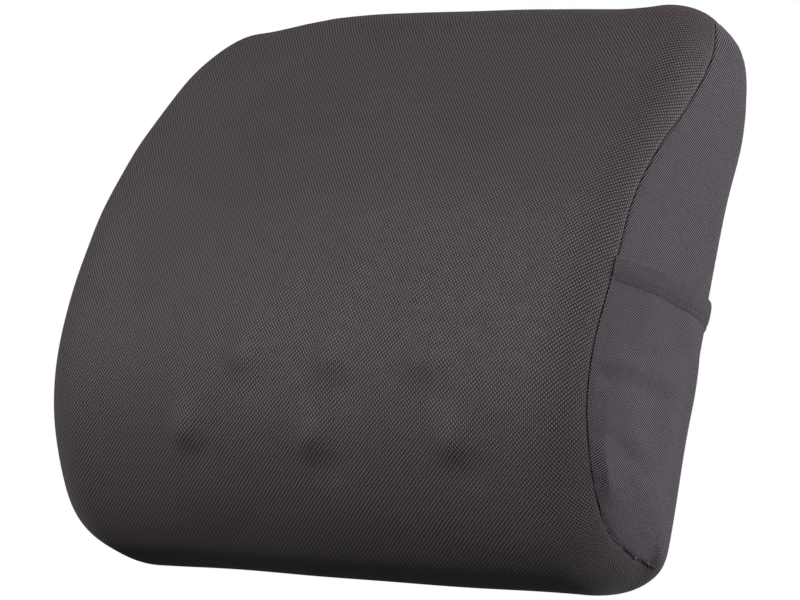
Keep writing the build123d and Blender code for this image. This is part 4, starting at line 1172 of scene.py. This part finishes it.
# ---------------------------------------------------------------------------
# materials of the carried-over CAD nodes
# ---------------------------------------------------------------------------
CARRIED = {
    "node_carrier": "plate_plastic", "massage_nodes": "node_rubber",
    "motor_housing_front_right": "housing_plastic", "motor_housing_rear_right": "housing_plastic",
    "motor_housing_front_left": "housing_plastic", "motor_housing_rear_left": "housing_plastic",
    "motor_right": "motor_steel", "motor_left": "motor_steel",
    "motor_shaft_right": "shaft_steel", "motor_shaft_left": "shaft_steel",
    "eccentric_weight_right": "weight_brass", "eccentric_weight_left": "weight_brass",
    "damping_pads": "pad_rubber", "housing_screws": "screw_steel", "case_screws": "screw_steel",
    "motor_lead_right": "lead_pvc", "motor_lead_left": "lead_pvc",
    "battery_case": "case_plastic", "case_bezel": "case_plastic", "battery_door": "door_plastic",
    "battery_cells": "cell_wrap", "contact_plates": "contact_nickel", "contact_springs": "contact_nickel",
    "switch_body": "switch_plastic", "power_button": "button_rubber",
    "zipper_stops": "zip_metal", "zipper_slider": "zip_metal", "zipper_pull": "zip_metal",
}
for node, mat in CARRIED.items():
    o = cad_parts[node]
    if o.material_slots:
        for sl in o.material_slots:
            sl.material = MAT[mat]
    else:
        o.data.materials.append(MAT[mat])

# ---------------------------------------------------------------------------
# studio: floor, light, camera
# ---------------------------------------------------------------------------
scene = bpy.context.scene
me = bpy.data.meshes.new("floor")
W = 4.0
me.from_pydata([(-W, -W, -0.0006), (W, -W, -0.0006), (W, W, -0.0006), (-W, W, -0.0006)], [], [(0, 1, 2, 3)])
floor = bpy.data.objects.new("floor", me)
scene.collection.objects.link(floor)
fm, net, bsdf = material("studio_floor")
out = [n for n in net.tree.nodes if n.type == "OUTPUT_MATERIAL"][0]
co = net.node("ShaderNodeTexCoord").outputs["Object"]
net.plug(bsdf.inputs["Base Color"], net.ramp(net.noise(co, 3.0, 3.0), [(0.3, (0.80, 0.80, 0.80)), (0.7, (0.84, 0.84, 0.84))]))
bsdf.inputs["Roughness"].default_value = 0.75
clear = net.node("ShaderNodeBsdfTransparent")
mixer = net.node("ShaderNodeMixShader")
net.tree.links.new(net.node("ShaderNodeNewGeometry").outputs["Backfacing"], mixer.inputs[0])
net.tree.links.new(bsdf.outputs[0], mixer.inputs[1])
net.tree.links.new(clear.outputs[0], mixer.inputs[2])
net.tree.links.new(mixer.outputs[0], out.inputs[0])
me.materials.append(fm)
floor.visible_shadow = False
floor.visible_diffuse = False

world = bpy.data.worlds.new("studio")
scene.world = world
world.use_nodes = True
wt = world.node_tree
wt.nodes.clear()
wn = Net(wt)
wo = wn.node("ShaderNodeOutputWorld")
bg = wn.node("ShaderNodeBackground")
bg2 = wn.node("ShaderNodeBackground")
mx = wn.node("ShaderNodeMixShader")
tc = wn.node("ShaderNodeTexCoord")
sp = wn.node("ShaderNodeSeparateXYZ")
wt.links.new(tc.outputs["Generated"], sp.inputs[0])
amb = wn.ramp(wn.math("MULTIPLY_ADD", sp.outputs[2], 0.5, 0.5), [(0.0, (0.05, 0.052, 0.06)), (0.42, (0.27, 0.272, 0.285)),
                                                                 (1.0, (0.16, 0.16, 0.16))])
wt.links.new(amb, bg.inputs[0])
bg.inputs[1].default_value = 0.75
bg2.inputs[0].default_value = (1, 1, 1, 1)
bg2.inputs[1].default_value = 1.0
wt.links.new(wn.node("ShaderNodeLightPath").outputs["Is Camera Ray"], mx.inputs[0])
wt.links.new(bg.outputs[0], mx.inputs[1])
wt.links.new(bg2.outputs[0], mx.inputs[2])
wt.links.new(mx.outputs[0], wo.inputs[0])


def area(name, loc, target, size, power, colour=(1, 1, 1)):
    d = bpy.data.lights.new(name, "AREA")
    d.shape = "RECTANGLE"
    d.size, d.size_y = size
    d.energy = power
    d.color = colour
    o = bpy.data.objects.new(name, d)
    scene.collection.objects.link(o)
    o.location = loc
    o.rotation_mode = "QUATERNION"
    o.rotation_quaternion = (Vector(target) - Vector(loc)).to_track_quat("-Z", "Y")
    return o


mid = (cad_lo + cad_hi) / 2
area("key", (-0.22, -1.96, 0.62), mid, (1.2, 1.0), 25.0, (1.0, 0.99, 0.98))
area("side", (1.75, 0.35, 0.85), mid, (0.9, 1.1), 10.0)
area("rim", (1.2, 1.2, 1.1), mid, (0.9, 1.1), 12.4)

cam_data = bpy.data.cameras.new("camera")
cam_data.sensor_width = 36.0
cam_data.sensor_fit = "HORIZONTAL"
cam_data.lens = 128.27
cam = bpy.data.objects.new("camera", cam_data)
scene.collection.objects.link(cam)
right = (0.8240094420926117, 0.5247375479262921, 0.21367953841798953)
up = (-0.004591055240390413, -0.3709454416500293, 0.9286433123276366)
back = (0.5665574653589893, -0.766191872258749, -0.3032534473516015)
pos = (0.8993699301607956, -1.1959337238082308, -0.32364701605324063)
cam.matrix_world = Matrix(((right[0], up[0], back[0], pos[0]), (right[1], up[1], back[1], pos[1]),
                           (right[2], up[2], back[2], pos[2]), (0, 0, 0, 1)))
scene.camera = cam
scene.view_settings.view_transform = "Standard"
